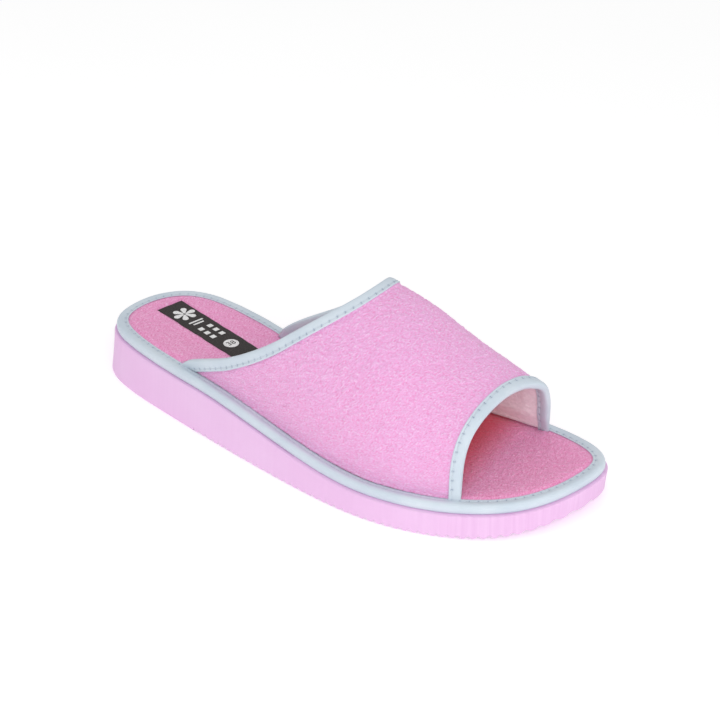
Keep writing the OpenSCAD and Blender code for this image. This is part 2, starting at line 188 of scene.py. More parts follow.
class SlipperForm:
    """The curves and surfaces that every piece is built on."""

    def __init__(self, sizes):
        self.s = sizes
        coarse = closed_spline(OUTLINE_CONTROL, 120)
        middle = (coarse.max(0) + coarse.min(0)) / 2
        self.to_size = np.array([sizes.sole_w, sizes.sole_len]) / np.ptp(coarse, axis=0)
        self.middle = middle
        self.outline = self.fine_outline(960)
        foot = self.inset(SETBACK + sizes.edge_tape_w + 4 * GAP)
        self.outer_foot, self.inner_foot = self.sides(foot)
        self.cement_gap = CAD_THREAD_T + 3 * GAP
        self.board_z = self.cement_gap + TAPE_T + GAP
        self.terry_z = self.board_z + BOARD_T + GAP + FOOTBED_FOAM_T + GAP
        self.footbed_z = self.terry_z + FOOTBED_TERRY_T
        self.edge_top = self.footbed_z + GAP + TAPE_T
        self.vamp_t = TERRY_T + FOAM_T + LINING_T + 2 * GAP

    def fine_outline(self, count):
        return (closed_spline(OUTLINE_CONTROL, count) - self.middle) * self.to_size

    def inset(self, distance):
        """The sole's outline drawn in by a distance."""
        line = self.outline
        along = unit(np.roll(line, -1, 0) - np.roll(line, 1, 0))
        return line + distance * np.stack([-along[:, 1], along[:, 0]], 1)

    @staticmethod
    def sides(line):
        """Outer and inner side of an outline, each as points sorted by y."""
        heel, toe = int(np.argmax(line[:, 1])), int(np.argmin(line[:, 1]))
        n = len(line)
        outer = line[(heel + np.arange((toe - heel) % n + 1)) % n]
        inner = line[(toe + np.arange((heel - toe) % n + 1)) % n]
        return outer[np.argsort(outer[:, 1])], inner[np.argsort(inner[:, 1])]

    def spring_at(self, y):
        start = -0.25 * self.s.sole_len
        return (np.maximum(0, start - y) / (start + self.s.sole_len / 2)) ** 2

    def sole_top(self, y):
        s = self.s
        front, back = -0.16 * s.sole_len, 0.245 * s.sole_len
        return (s.ball_t + (s.heel_t - s.ball_t) * ease((y - front) / (back - front))
                + (s.toe_spring - TOE_THINNING) * self.spring_at(y))

    def sole_bottom(self, y):
        return self.s.toe_spring * self.spring_at(y)

    def footbed_top(self, y):
        return self.sole_top(y) + self.footbed_z

    def skin(self, y, a):
        """Outer face of the upper, at a station and an angle round the arch in degrees."""
        s = self.s
        y, a = np.broadcast_arrays(np.asarray(y, float), np.asarray(a, float))
        x_out = np.interp(y, self.outer_foot[:, 1], self.outer_foot[:, 0])
        x_in = np.interp(y, self.inner_foot[:, 1], self.inner_foot[:, 0])
        x_top = x_out + (x_in - x_out) * smooth_at(CROWN_PLACE, y / s.sole_len)
        power = np.where(a < 90, 1.0, INNER_ROUNDNESS)
        reach = np.abs(np.cos(np.radians(a))) ** power
        rise = np.clip(np.sin(np.radians(a)), 0, 1) ** power
        x = np.where(a < 90, x_top - (x_top - x_out) * reach, x_top + (x_in - x_top) * reach)
        low = 0.8 * s.toe_crown_h
        height = low + (s.crown_h - low) * smooth_at(CROWN_RISE, y / s.sole_len)
        return np.stack([x, y, self.footbed_top(y) + height * rise], -1)

    def skin_round(self, y, a):
        m = np.clip(a, 0.5, 179.5)
        return (self.skin(y, m + 0.25) - self.skin(y, m - 0.25)) / 0.5

    def skin_along(self, y, a):
        return (self.skin(y + 0.5 * MM, a) - self.skin(y - 0.5 * MM, a)) / MM

    def skin_normal(self, y, a):
        return unit(np.cross(self.skin_round(y, a), self.skin_along(y, a)))

    def edge_station(self, a, is_toe):
        return smooth_at(TOE_LINE if is_toe else THROAT_LINE, a) * self.s.sole_len

    def band_y(self, a, share):
        return self.edge_station(a, False) * (1 - share) + self.edge_station(a, True) * share

    def edge_inward(self, a, is_toe):
        m = np.clip(a, 0.5, 179.5)
        ahead = self.skin(self.edge_station(m + 0.5, is_toe), m + 0.5)
        behind = self.skin(self.edge_station(m - 0.5, is_toe), m - 0.5)
        into = unit(np.cross(self.skin_normal(self.edge_station(a, is_toe), a),
                             unit(ahead - behind)))
        return into if is_toe else -into

    def walk(self, y, a, direction, distance, steps=6):
        """Station and angle after a walk over the skin along a space direction."""
        for _ in range(steps):
            r, l = self.skin_round(y, a), self.skin_along(y, a)
            rr, rl, ll = (r * r).sum(-1), (r * l).sum(-1), (l * l).sum(-1)
            pr, pl = (direction * r).sum(-1), (direction * l).sum(-1)
            det = rr * ll - rl * rl
            a = np.clip(a + (pr * ll - pl * rl) / det * distance / steps, *ARCH_ENDS)
            y = y + (pl * rr - pr * rl) / det * distance / steps
        return y, a


def sizes():
    return bpy.context.scene.slipper_sizes


def colours():
    return bpy.context.scene.slipper_colours


# ---------- meshes ----------

def mesh_piece(name, points, faces, material, uv=None, marks=None):
    """A closed mesh piece whose faces point outwards, with its UV map and point attributes."""
    points = np.asarray(points, float)
    mesh = bpy.data.meshes.new(name)
    mesh.from_pydata(points.tolist(), [], [list(map(int, f)) for f in faces])
    mesh.update()
    mesh.calc_loop_triangles()
    tris = np.empty(len(mesh.loop_triangles) * 3, np.int32)
    mesh.loop_triangles.foreach_get("vertices", tris)
    a, b, c = (points[tris.reshape(-1, 3)[:, k]] for k in range(3))
    if (a * np.cross(b, c)).sum() < 0:
        mesh.flip_normals()
    if uv is not None:
        layer = mesh.uv_layers.new(name="UVMap")
        corner = np.empty(len(mesh.loops), np.int32)
        mesh.loops.foreach_get("vertex_index", corner)
        layer.data.foreach_set("uv", np.asarray(uv, float)[corner].astype(np.float32).ravel())
    for key, values in (marks or {}).items():
        mark = mesh.attributes.new(key, "FLOAT", "POINT")
        mark.data.foreach_set("value", np.asarray(values, np.float32))
    mesh.polygons.foreach_set("use_smooth", np.full(len(mesh.polygons), True))
    mesh.materials.append(material)
    mesh.validate()
    piece = bpy.data.objects.new(name, mesh)
    bpy.context.scene.collection.objects.link(piece)
    return piece


def soften(piece, degrees):
    """Smooth shading with sharp edges above an angle."""
    piece.data.set_sharp_from_angle(angle=math.radians(degrees))


def loop_faces(rings, around, closed_rings):
    """Quads between rings of points, each ring closed on itself."""
    last = rings if closed_rings else rings - 1
    j, i = np.meshgrid(np.arange(last), np.arange(around), indexing="ij")
    here, there = j * around, (j + 1) % rings * around
    k = (i + 1) % around
    faces = np.stack([here + i, here + k, there + k, there + i], -1).reshape(-1, 4).tolist()
    if not closed_rings:
        faces.append(list(range(around - 1, -1, -1)))
        faces.append([last * around + n for n in range(around)])
    return faces


def padded_faces(nu, nv, every):
    """Faces of a fine front grid (nu by nv points) over a coarser back grid, with a rim."""
    i, j = np.meshgrid(np.arange(nu - 1), np.arange(nv - 1), indexing="ij")
    front = i * nv + j
    faces = np.stack([front, front + nv, front + nv + 1, front + 1], -1).reshape(-1, 4).tolist()
    bu, bv = (nu - 1) // every + 1, (nv - 1) // every + 1
    base = nu * nv
    i, j = np.meshgrid(np.arange(bu - 1), np.arange(bv - 1), indexing="ij")
    back = base + i * bv + j
    faces += np.stack([back, back + 1, back + bv + 1, back + bv], -1).reshape(-1, 4).tolist()

    def fine(p, q):
        return p * nv + q

    def coarse(p, q):
        return base + p * bv + q

    for p in range(bu - 1):
        run = [fine(p * every + k, 0) for k in range(every + 1)]
        faces.append(run[::-1] + [coarse(p, 0), coarse(p + 1, 0)])
        run = [fine(p * every + k, nv - 1) for k in range(every + 1)]
        faces.append(run + [coarse(p + 1, bv - 1), coarse(p, bv - 1)])
    for q in range(bv - 1):
        run = [fine(0, q * every + k) for k in range(every + 1)]
        faces.append(run + [coarse(0, q + 1), coarse(0, q)])
        run = [fine(nu - 1, q * every + k) for k in range(every + 1)]
        faces.append(run[::-1] + [coarse(bu - 1, q), coarse(bu - 1, q + 1)])
    return faces


def finish_piece(piece, slot, *replaced):
    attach(piece, "root")
    if replaced:
        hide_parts(*replaced)
    return piece


# ---------- terry pile ----------

PILE_CELLS = 1536
FOOTBED_PILE_SEED, UPPER_PILE_SEED = 11, 23
PILE_STEP = 0.2 * MM


def blurred_noise(rng, long_sigma, short_sigma, angle):
    """Periodic noise whose grains are longer along one direction, in cells."""
    f = np.fft.fftfreq(PILE_CELLS)
    fx, fy = np.meshgrid(f, f, indexing="ij")
    u = fx * math.cos(angle) + fy * math.sin(angle)
    v = -fx * math.sin(angle) + fy * math.cos(angle)
    keep = np.exp(-2 * math.pi ** 2 * ((u * long_sigma) ** 2 + (v * short_sigma) ** 2))
    noise = np.fft.ifft2(np.fft.fft2(rng.standard_normal((PILE_CELLS, PILE_CELLS))) * keep).real
    return (noise - noise.mean()) / noise.std()


def terry_pile(seed):
    """Height map of terry loops: short dashes that lie every way, from about -2 to 2."""
    rng = np.random.default_rng(seed)
    turns = 6
    pile = np.full((PILE_CELLS, PILE_CELLS), -9.0)
    for k in range(turns):
        angle = math.pi * k / turns
        dashes = blurred_noise(rng, 2.5, 1.05, angle)
        choice = blurred_noise(rng, 3.0, 3.0, 0)
        pile = np.maximum(pile, dashes + 0.4 * choice)
    pile = (pile - pile.mean()) / pile.std()
    return np.clip(pile, -2.2, 2.2)


def sample_map(grid, u, v):
    """Value of a periodic map at distances u and v, in metres."""
    u, v = np.asarray(u) / PILE_STEP, np.asarray(v) / PILE_STEP
    i, j = np.floor(u).astype(int), np.floor(v).astype(int)
    f, g = u - i, v - j
    n = PILE_CELLS
    a, b = grid[i % n, j % n], grid[(i + 1) % n, j % n]
    c, d = grid[i % n, (j + 1) % n], grid[(i + 1) % n, (j + 1) % n]
    return (a * (1 - f) + b * f) * (1 - g) + (c * (1 - f) + d * f) * g


# ---------- padding ----------

SIM_FRAMES = 20


def swollen(front, back, cap):
    """How far cloth with pressure behind it moves out of a front grid, held at its border."""
    nu, nv = front.shape[:2]
    rest = np.concatenate([front.reshape(-1, 3), back.reshape(-1, 3)])
    faces = padded_faces(nu, nv, 1)
    mesh = bpy.data.meshes.new("padding")
    mesh.from_pydata(rest.tolist(), [], faces)
    mesh.update()
    pad = bpy.data.objects.new("padding", mesh)
    bpy.context.scene.collection.objects.link(pad)
    held = np.zeros((2, nu, nv), bool)
    held[:, [0, -1], :] = True
    held[:, :, [0, -1]] = True
    seam = pad.vertex_groups.new(name="seam")
    seam.add(np.flatnonzero(held).tolist(), 1.0, "REPLACE")
    cloth = pad.modifiers.new("Cloth", "CLOTH")
    settings = cloth.settings
    settings.quality = 6
    settings.mass = 0.25
    settings.tension_stiffness = 12
    settings.compression_stiffness = 12
    settings.bending_stiffness = 1.5
    settings.use_pressure = True
    settings.uniform_pressure_force = 4
    settings.effector_weights.gravity = 0
    settings.vertex_group_mass = "seam"
    cloth.point_cache.frame_start = 1
    cloth.point_cache.frame_end = SIM_FRAMES
    scene = bpy.context.scene
    for number in range(1, SIM_FRAMES + 1):
        scene.frame_set(number)
    evaluated = pad.evaluated_get(bpy.context.evaluated_depsgraph_get())
    moved = np.empty(len(rest) * 3)
    evaluated.data.vertices.foreach_get("co", moved)
    moved = moved.reshape(-1, 3)[:nu * nv].reshape(nu, nv, 3)
    scene.frame_set(1)
    bpy.data.objects.remove(pad)
    du, dv = np.gradient(front, axis=0), np.gradient(front, axis=1)
    out = unit(np.cross(du, dv))
    if (out * (front - back)).sum() < 0:
        out = -out
    rise = ((moved - front) * out).sum(-1)
    return cap * np.tanh(np.maximum(rise, 0) / cap)


def spread(values, nu, nv):
    """A coarse grid of values drawn smoothly over a finer one."""
    for axis, count in ((0, nu), (1, nv)):
        n = values.shape[axis]
        place = np.linspace(0, n - 1, count)
        rows = np.moveaxis(values, axis, 0)
        i = np.clip(np.floor(place).astype(int), 0, n - 2)
        f = (place - i)[:, None]
        before, after = rows[np.maximum(i - 1, 0)], rows[np.minimum(i + 2, n - 1)]
        p, q = rows[i], rows[i + 1]
        rows = p + 0.5 * f * (q - before + f * (2 * before - 5 * p + 4 * q - after
                                                + f * (3 * (p - q) + after - before)))
        values = np.moveaxis(rows, 0, axis)
    return values


# ---------- materials ----------

def linear_mix(colour_a, share, colour_b):
    return tuple(a + (b - a) * share for a, b in zip(colour_a, colour_b))


class Finish:
    """A material under construction: a Principled shader and the nodes that feed it."""

    def __init__(self, name, roughness=0.7, **sockets):
        self.material = bpy.data.materials.new(name)
        self.material.use_nodes = True
        self.tree = self.material.node_tree
        self.shader = self.tree.nodes["Principled BSDF"]
        self.set(**{"Roughness": roughness, **sockets})
        self.height = None

    def set(self, **sockets):
        for key, value in sockets.items():
            socket = self.shader.inputs[key.replace("_", " ")]
            socket.default_value = (*value, 1.0) if isinstance(value, tuple) else value

    def node(self, kind, **settings):
        made = self.tree.nodes.new(kind)
        for key, value in settings.items():
            if key[0].isupper():
                made.inputs[key.replace("_", " ")].default_value = value
            else:
                setattr(made, key, value)
        return made

    def link(self, source, target):
        self.tree.links.new(source, target)

    def place(self, kind="Object", scale=(1, 1, 1)):
        """Coordinates on the piece, stretched."""
        where = self.node("ShaderNodeTexCoord")
        mapping = self.node("ShaderNodeMapping", Scale=scale)
        self.link(where.outputs[kind], mapping.inputs["Vector"])
        return mapping.outputs["Vector"]

    def mark(self, name):
        return self.node("ShaderNodeAttribute", attribute_name=name).outputs["Fac"]

    def noise(self, scale, detail=2.0, kind="Object", stretch=(1, 1, 1), rough=0.5):
        made = self.node("ShaderNodeTexNoise", Scale=scale, Detail=detail, Roughness=rough)
        self.link(self.place(kind, stretch), made.inputs["Vector"])
        return made.outputs["Fac"]

    def maths(self, operation, *values):
        made = self.node("ShaderNodeMath", operation=operation)
        for socket, value in zip(made.inputs, values):
            if isinstance(value, (int, float)):
                socket.default_value = value
            else:
                self.link(value, socket)
        return made.outputs[0]

    def ramp(self, value, *stops):
        """Colours at places from 0 to 1."""
        made = self.node("ShaderNodeValToRGB")
        elements = made.color_ramp.elements
        while len(elements) < len(stops):
            elements.new(0.5)
        for element, (place, shade) in zip(elements, stops):
            element.position = place
            element.color = (*shade, 1)
        self.link(value, made.inputs["Fac"])
        return made.outputs["Color"]

    def blend(self, a, b, share, mode="MIX"):
        made = self.node("ShaderNodeMix", data_type="RGBA", blend_type=mode)
        for socket, value in ((made.inputs[6], a), (made.inputs[7], b)):
            if isinstance(value, tuple):
                socket.default_value = (*value, 1)
            else:
                self.link(value, socket)
        if isinstance(share, float):
            made.inputs[0].default_value = share
        else:
            self.link(share, made.inputs[0])
        return made.outputs[2]

    def bump(self, value, distance, strength=1.0):
        made = self.node("ShaderNodeBump", Distance=distance, Strength=strength)
        self.link(value, made.inputs["Height"])
        if self.height is not None:
            self.link(self.height, made.inputs["Normal"])
        self.height = made.outputs["Normal"]
        self.link(self.height, self.shader.inputs["Normal"])

    def feed(self, key, value):
        self.link(value, self.shader.inputs[key])


def foam_finish():
    """Closed-cell foam, die-cut, with faint upright knife marks on its walls."""
    base = tuple(colours().foam)
    f = Finish("sole foam", 0.62, Specular_IOR_Level=0.35)
    cloudy = f.noise(22, 3)
    fine = f.noise(900, 2)
    shade = f.ramp(cloudy, (0.32, linear_mix(base, 0.07, (0.86, 0.3, 0.72))),
                   (0.68, linear_mix(base, 0.12, (1.0, 0.75, 1.0))))
    knife = f.noise(1.0, 3, "UV", (420, 9, 1), 0.6)
    cut = f.mark("cut")
    shade = f.blend(shade, f.ramp(knife, (0.32, (0.92, 0.86, 0.92)), (0.6, (1, 1, 1))),
                    f.maths("MULTIPLY", cut, 0.8), "MULTIPLY")
    f.feed("Base Color", shade)
    f.feed("Roughness", f.maths("MULTIPLY_ADD", fine, 0.18, 0.52))
    f.bump(f.maths("MULTIPLY", knife, cut), 0.25 * MM, 0.5)
    f.bump(fine, 0.12 * MM, 0.6)
    return f.material


# Deep red of painted shade and painted reflected pink light, laid into the footbed terry under the
# upper's toe.
PAINTED_TOE_SHADE_RED = colour(220, 66, 80)


def terry_finish(name, tips, loop_foot_shade, sheen):
    """Loop pile: painted shade in a deeper colour between the loops, a painted highlight whitening
    their highest tips, and soft sheen on their tips.
    """
    f = Finish(name, 0.92, Specular_IOR_Level=0.15, Sheen_Weight=sheen, Sheen_Roughness=0.55)
    pile = f.mark("pile")
    cloudy = f.noise(28, 3)
    fibres = f.noise(2300, 3, rough=0.6)
    loops_fine = f.noise(1.0, 1.5, "UV", (900, 1500, 1), 0.6)
    level = f.maths("ADD", f.maths("MULTIPLY", pile, 0.5),
                    f.maths("MULTIPLY", f.maths("SUBTRACT", loops_fine, 0.39), 2.6))
    # Painted shade at the foot of the loops, rising to a painted highlight, whitened, on the
    # highest tips.
    loops = f.ramp(level, (0.0, loop_foot_shade), (0.45, linear_mix(loop_foot_shade, 0.7, tips)), (0.75, tips),
                   (1.0, linear_mix(tips, 0.3, (1, 0.95, 1))))
    warm = tuple(a * b for a, b in zip(tips, (0.985, 0.9, 0.86)))
    patch = f.ramp(cloudy, (0.35, warm), (0.65, tips))
    loops = f.blend(loops, patch, f.maths("MULTIPLY", cloudy, 0.25))
    # Painted shade and painted reflected light: the colour runs to deep red where the footbed's
    # toe-shade mark is set.
    f.feed("Base Color", f.blend(loops, PAINTED_TOE_SHADE_RED, f.mark("painted_toe_shade")))
    f.bump(loops_fine, 0.4 * MM, 0.8)
    f.bump(fibres, 0.15 * MM, 0.5)
    return f.material


def lining_finish():
    base = tuple(colours().lining)
    f = Finish("brushed lining", 0.95, Specular_IOR_Level=0.1, Sheen_Weight=0.3,
               Sheen_Roughness=0.6)
    nap = f.noise(700, 4, rough=0.65)
    cloudy = f.noise(60, 3)
    shade = f.ramp(nap, (0.3, tuple(v * 0.86 for v in base)), (0.65, base))
    f.feed("Base Color", f.blend(shade, (0.86, 0.6, 0.68), f.maths("MULTIPLY", cloudy, 0.2)))
    f.bump(nap, 0.35 * MM, 0.7)
    return f.material


def tape_finish():
    """Satin tape: fine cross ribs, softer at the fold, with painted blue-grey shade in its needle
    holes, its stitch channel and beside the upper.
    """
    base = tuple(colours().tape)
    f = Finish("satin tape", 0.5, Specular_IOR_Level=0.4, Sheen_Weight=0.15,
               Sheen_Roughness=0.4)
    ribs = f.node("ShaderNodeTexWave", wave_type="BANDS", bands_direction="X", Scale=1.0,
                  Distortion=0.6, Detail=1.0)
    f.link(f.place("UV", (650, 120, 1)), ribs.inputs["Vector"])
    cloudy = f.noise(45, 3)
    yarn = f.noise(1.0, 3, "UV", (300, 2600, 1), 0.6)
    shade = f.ramp(cloudy, (0.3, tuple(v * w for v, w in zip(base, (0.9, 0.93, 0.96)))),
                   (0.7, tuple(min(1, v * 1.04) for v in base)))
    shade = f.blend(shade, f.ramp(yarn, (0.3, (0.93, 0.94, 0.96)), (0.62, (1, 1, 1))), 0.7,
                    "MULTIPLY")
    # Painted shade: blue-grey where the tape's shade mark is set, in needle holes, stitch channels
    # and beside the upper's foot.
    shade = f.blend(shade, colour(112, 130, 160), f.mark("holes_and_painted_shade"))
    f.feed("Base Color", shade)
    f.feed("Roughness", f.maths("MULTIPLY_ADD", yarn, 0.25, 0.38))
    f.bump(ribs.outputs["Fac"], 0.06 * MM, 0.5)
    f.bump(yarn, 0.1 * MM, 0.5)
    return f.material


def thread_finish():
    base = tuple(colours().thread)
    f = Finish("sewing thread", 0.55, Specular_IOR_Level=0.35, Sheen_Weight=0.2)
    twist = f.noise(2600, 2)
    f.feed("Base Color", f.ramp(twist, (0.35, tuple(v * 0.8 for v in base)), (0.6, base)))
    f.bump(twist, 0.08 * MM, 0.6)
    return f.material


def board_finish():
    f = Finish("fibre board", 0.85, Specular_IOR_Level=0.2)
    fibres = f.noise(400, 5, rough=0.7)
    f.feed("Base Color", f.ramp(fibres, (0.3, colour(150, 124, 92)), (0.7, colour(184, 160, 126))))
    f.bump(fibres, 0.2 * MM, 0.5)
    return f.material


def white_foam_finish():
    f = Finish("white foam", 0.8, Specular_IOR_Level=0.2)
    cells = f.node("ShaderNodeTexVoronoi", Scale=1300)
    f.link(f.place(), cells.inputs["Vector"])
    f.feed("Base Color", f.ramp(cells.outputs["Distance"], (0.0, colour(214, 208, 194)),
                                (0.6, colour(246, 243, 234))))
    f.bump(cells.outputs["Distance"], 0.2 * MM, 0.5)
    return f.material


def label_finish():
    base = tuple(colours().label)
    f = Finish("label cloth", 0.6, Specular_IOR_Level=0.3)
    weave = f.node("ShaderNodeTexWave", wave_type="BANDS", bands_direction="X", Scale=1.0,
                   Distortion=0.4)
    f.link(f.place("UV", (1500, 1500, 1)), weave.inputs["Vector"])
    speck = f.noise(1200, 3)
    f.feed("Base Color", f.ramp(speck, (0.35, base), (0.7, tuple(v * 1.7 + 0.004 for v in base))))
    f.bump(weave.outputs["Fac"], 0.05 * MM, 0.5)
    f.bump(speck, 0.06 * MM, 0.5)
    return f.material


def print_finish():
    f = Finish("label print", 0.5, Specular_IOR_Level=0.4)
    speck = f.noise(1500, 4, rough=0.7)
    f.feed("Base Color", f.ramp(speck, (0.3, colour(196, 194, 194)), (0.55, colour(240, 240, 240))))
    f.bump(speck, 0.04 * MM, 0.5)
    return f.material


def digit_finish():
    f = Finish("label ink", 0.6, Specular_IOR_Level=0.3)
    speck = f.noise(1500, 3)
    f.feed("Base Color", f.ramp(speck, (0.35, colour(52, 47, 46)), (0.7, colour(84, 78, 76))))
    f.bump(speck, 0.03 * MM, 0.4)
    return f.material


def floor_finish():
    f = Finish("studio floor", 0.9, Specular_IOR_Level=0.0)
    base = tuple(colours().floor)
    grain = f.noise(6, 2)
    f.feed("Base Color", f.ramp(grain, (0.3, tuple(v * 0.995 for v in base)), (0.7, base)))
    f.set(Emission_Color=(1.0, 1.0, 1.0), Emission_Strength=0.2)
    return f.material


FINISHES = {}


def finish_named(name, maker, *values):
    if name not in FINISHES:
        FINISHES[name] = maker(*values)
    return FINISHES[name]


def tape_material():
    return finish_named("tape", tape_finish)


def thread_material():
    return finish_named("thread", thread_finish)


# ---------- geometry node trees ----------

class Tree:
    """A Geometry Nodes tree with named inputs."""

    def __init__(self, name):
        self.group = bpy.data.node_groups.new(name, "GeometryNodeTree")
        for way in ("INPUT", "OUTPUT"):
            self.group.interface.new_socket("Geometry", in_out=way,
                                            socket_type="NodeSocketGeometry")
        self.start = self.group.nodes.new("NodeGroupInput")
        self.end = self.group.nodes.new("NodeGroupOutput")
        self.keys = {}

    def input(self, name, kind="NodeSocketFloat"):
        socket = self.group.interface.new_socket(name, in_out="INPUT", socket_type=kind)
        self.keys[name] = socket.identifier
        return self.start.outputs[name]

    def node(self, kind, **settings):
        made = self.group.nodes.new(kind)
        for key, value in settings.items():
            if key[0].isupper():
                made.inputs[key.replace("_", " ")].default_value = value
            else:
                setattr(made, key, value)
        return made

    def link(self, source, target):
        self.group.links.new(source, target)

    def maths(self, operation, *values):
        made = self.node("ShaderNodeMath", operation=operation)
        for socket, value in zip(made.inputs, values):
            if isinstance(value, (int, float)):
                socket.default_value = value
            else:
                self.link(value, socket)
        return made.outputs[0]

    def named(self, name, kind):
        made = self.node("GeometryNodeInputNamedAttribute", data_type=kind, Name=name)
        return made.outputs["Attribute"]

    def close(self, geometry):
        """Ends the tree in real geometry with its material."""
        material = self.input("Material", "NodeSocketMaterial")
        real = self.node("GeometryNodeRealizeInstances")
        paint = self.node("GeometryNodeSetMaterial")
        self.link(geometry, real.inputs["Geometry"])
        self.link(real.outputs["Geometry"], paint.inputs["Geometry"])
        self.link(material, paint.inputs["Material"])
        self.link(paint.outputs["Geometry"], self.end.inputs["Geometry"])


def applied(piece, tree, values):
    """Runs a tree on a piece and keeps the result as its plain mesh."""
    run = piece.modifiers.new(tree.group.name, "NODES")
    run.node_group = tree.group
    for name, value in values.items():
        run[tree.keys[name]] = value
    evaluated = piece.evaluated_get(bpy.context.evaluated_depsgraph_get())
    mesh = bpy.data.meshes.new_from_object(evaluated)
    piece.modifiers.remove(run)
    piece.data = mesh
    mesh.name = piece.name
    return piece


def tread_tree():
    """Presses narrow grooves across the underside, between rounded ribs."""
    t = Tree("Tread ribs")
    pitch, sharp, depth = t.input("Rib pitch"), t.input("Notch power"), t.input("Groove depth")
    front, back = t.input("Tread front"), t.input("Tread back")
    place = t.node("ShaderNodeSeparateXYZ")
    t.link(t.node("GeometryNodeInputPosition").outputs[0], place.inputs[0])
    y = place.outputs["Y"]
    run = t.maths("DIVIDE", t.maths("SUBTRACT", y, front), pitch)
    wave = t.maths("ABSOLUTE", t.maths("COSINE", t.maths("MULTIPLY", run, math.pi)))
    shape = t.maths("POWER", wave, sharp)
    inside = t.maths("MULTIPLY", t.maths("GREATER_THAN", y, front), t.maths("LESS_THAN", y, back))
    lift = t.maths("MULTIPLY", t.maths("MULTIPLY", shape, inside),
                   t.maths("MULTIPLY", depth, t.named("tread", "FLOAT")))
    offset = t.node("ShaderNodeCombineXYZ")
    t.link(lift, offset.inputs["Z"])
    move = t.node("GeometryNodeSetPosition")
    t.link(t.start.outputs["Geometry"], move.inputs["Geometry"])
    t.link(offset.outputs[0], move.inputs["Offset"])
    t.close(move.outputs["Geometry"])
    return t


def stitch_tree():
    """Sets one arched bar of thread at every point, along its seam and dipping at both ends."""
    t = Tree("Stitch row")
    length, thick = t.input("Stitch length"), t.input("Thread thickness")
    dip, rise = t.input("End dip"), t.input("Rise")
    half = t.maths("DIVIDE", length, 2.0)
    arc = t.node("GeometryNodeCurvePrimitiveBezierSegment", mode="POSITION", Resolution=8)
    for key, x_sign, z in (("Start", -1.0, "end"), ("Start Handle", -0.55, "top"),
                           ("End Handle", 0.55, "top"), ("End", 1.0, "end")):
        spot = t.node("ShaderNodeCombineXYZ")
        t.link(t.maths("MULTIPLY", half, x_sign), spot.inputs["X"])
        t.link(t.maths("MULTIPLY", dip, -1.0) if z == "end" else rise, spot.inputs["Z"])
        t.link(spot.outputs[0], arc.inputs[key])
    ring = t.node("GeometryNodeCurvePrimitiveCircle", Resolution=6)
    t.link(t.maths("DIVIDE", thick, 2.0), ring.inputs["Radius"])
    bar = t.node("GeometryNodeCurveToMesh", Fill_Caps=True)
    t.link(arc.outputs[0], bar.inputs["Curve"])
    t.link(ring.outputs["Curve"], bar.inputs["Profile Curve"])
    smooth = t.node("GeometryNodeSetShadeSmooth")
    t.link(bar.outputs[0], smooth.inputs[0])
    upright = t.node("FunctionNodeAlignEulerToVector", axis="Z")
    t.link(t.named("up", "FLOAT_VECTOR"), upright.inputs["Vector"])
    lengthwise = t.node("FunctionNodeAlignEulerToVector", axis="X", pivot_axis="Z")
    t.link(upright.outputs[0], lengthwise.inputs["Rotation"])
    t.link(t.named("along", "FLOAT_VECTOR"), lengthwise.inputs["Vector"])
    vary = t.node("FunctionNodeRandomValue", data_type="FLOAT_VECTOR", Seed=7)
    vary.inputs[0].default_value = (0.92, 0.9, 0.9)
    vary.inputs[1].default_value = (1.04, 1.1, 1.1)
    set_out = t.node("GeometryNodeInstanceOnPoints")
    points = t.node("GeometryNodeMeshToPoints")
    t.link(t.start.outputs["Geometry"], points.inputs["Mesh"])
    t.link(points.outputs[0], set_out.inputs["Points"])
    t.link(smooth.outputs[0], set_out.inputs["Instance"])
    t.link(lengthwise.outputs[0], set_out.inputs["Rotation"])
    t.link(vary.outputs[0], set_out.inputs["Scale"])
    t.close(set_out.outputs[0])
    return t


TREES = {}


def tree_from(maker):
    if maker not in TREES:
        TREES[maker] = maker()
    return TREES[maker]


# ---------- sole ----------

WALL_RISE = np.array([0, 0.012, 0.035, 0.1, 0.3, 0.5, 0.7, 0.9, 0.965, 0.988, 1])
NOTCH_POWER = 3.0
RIB_SHARES = (0, 0.06, 0.13, 0.22, 0.35, 0.5, 0.65, 0.78, 0.87, 0.94)
TREAD_FRONT = 2 * MM


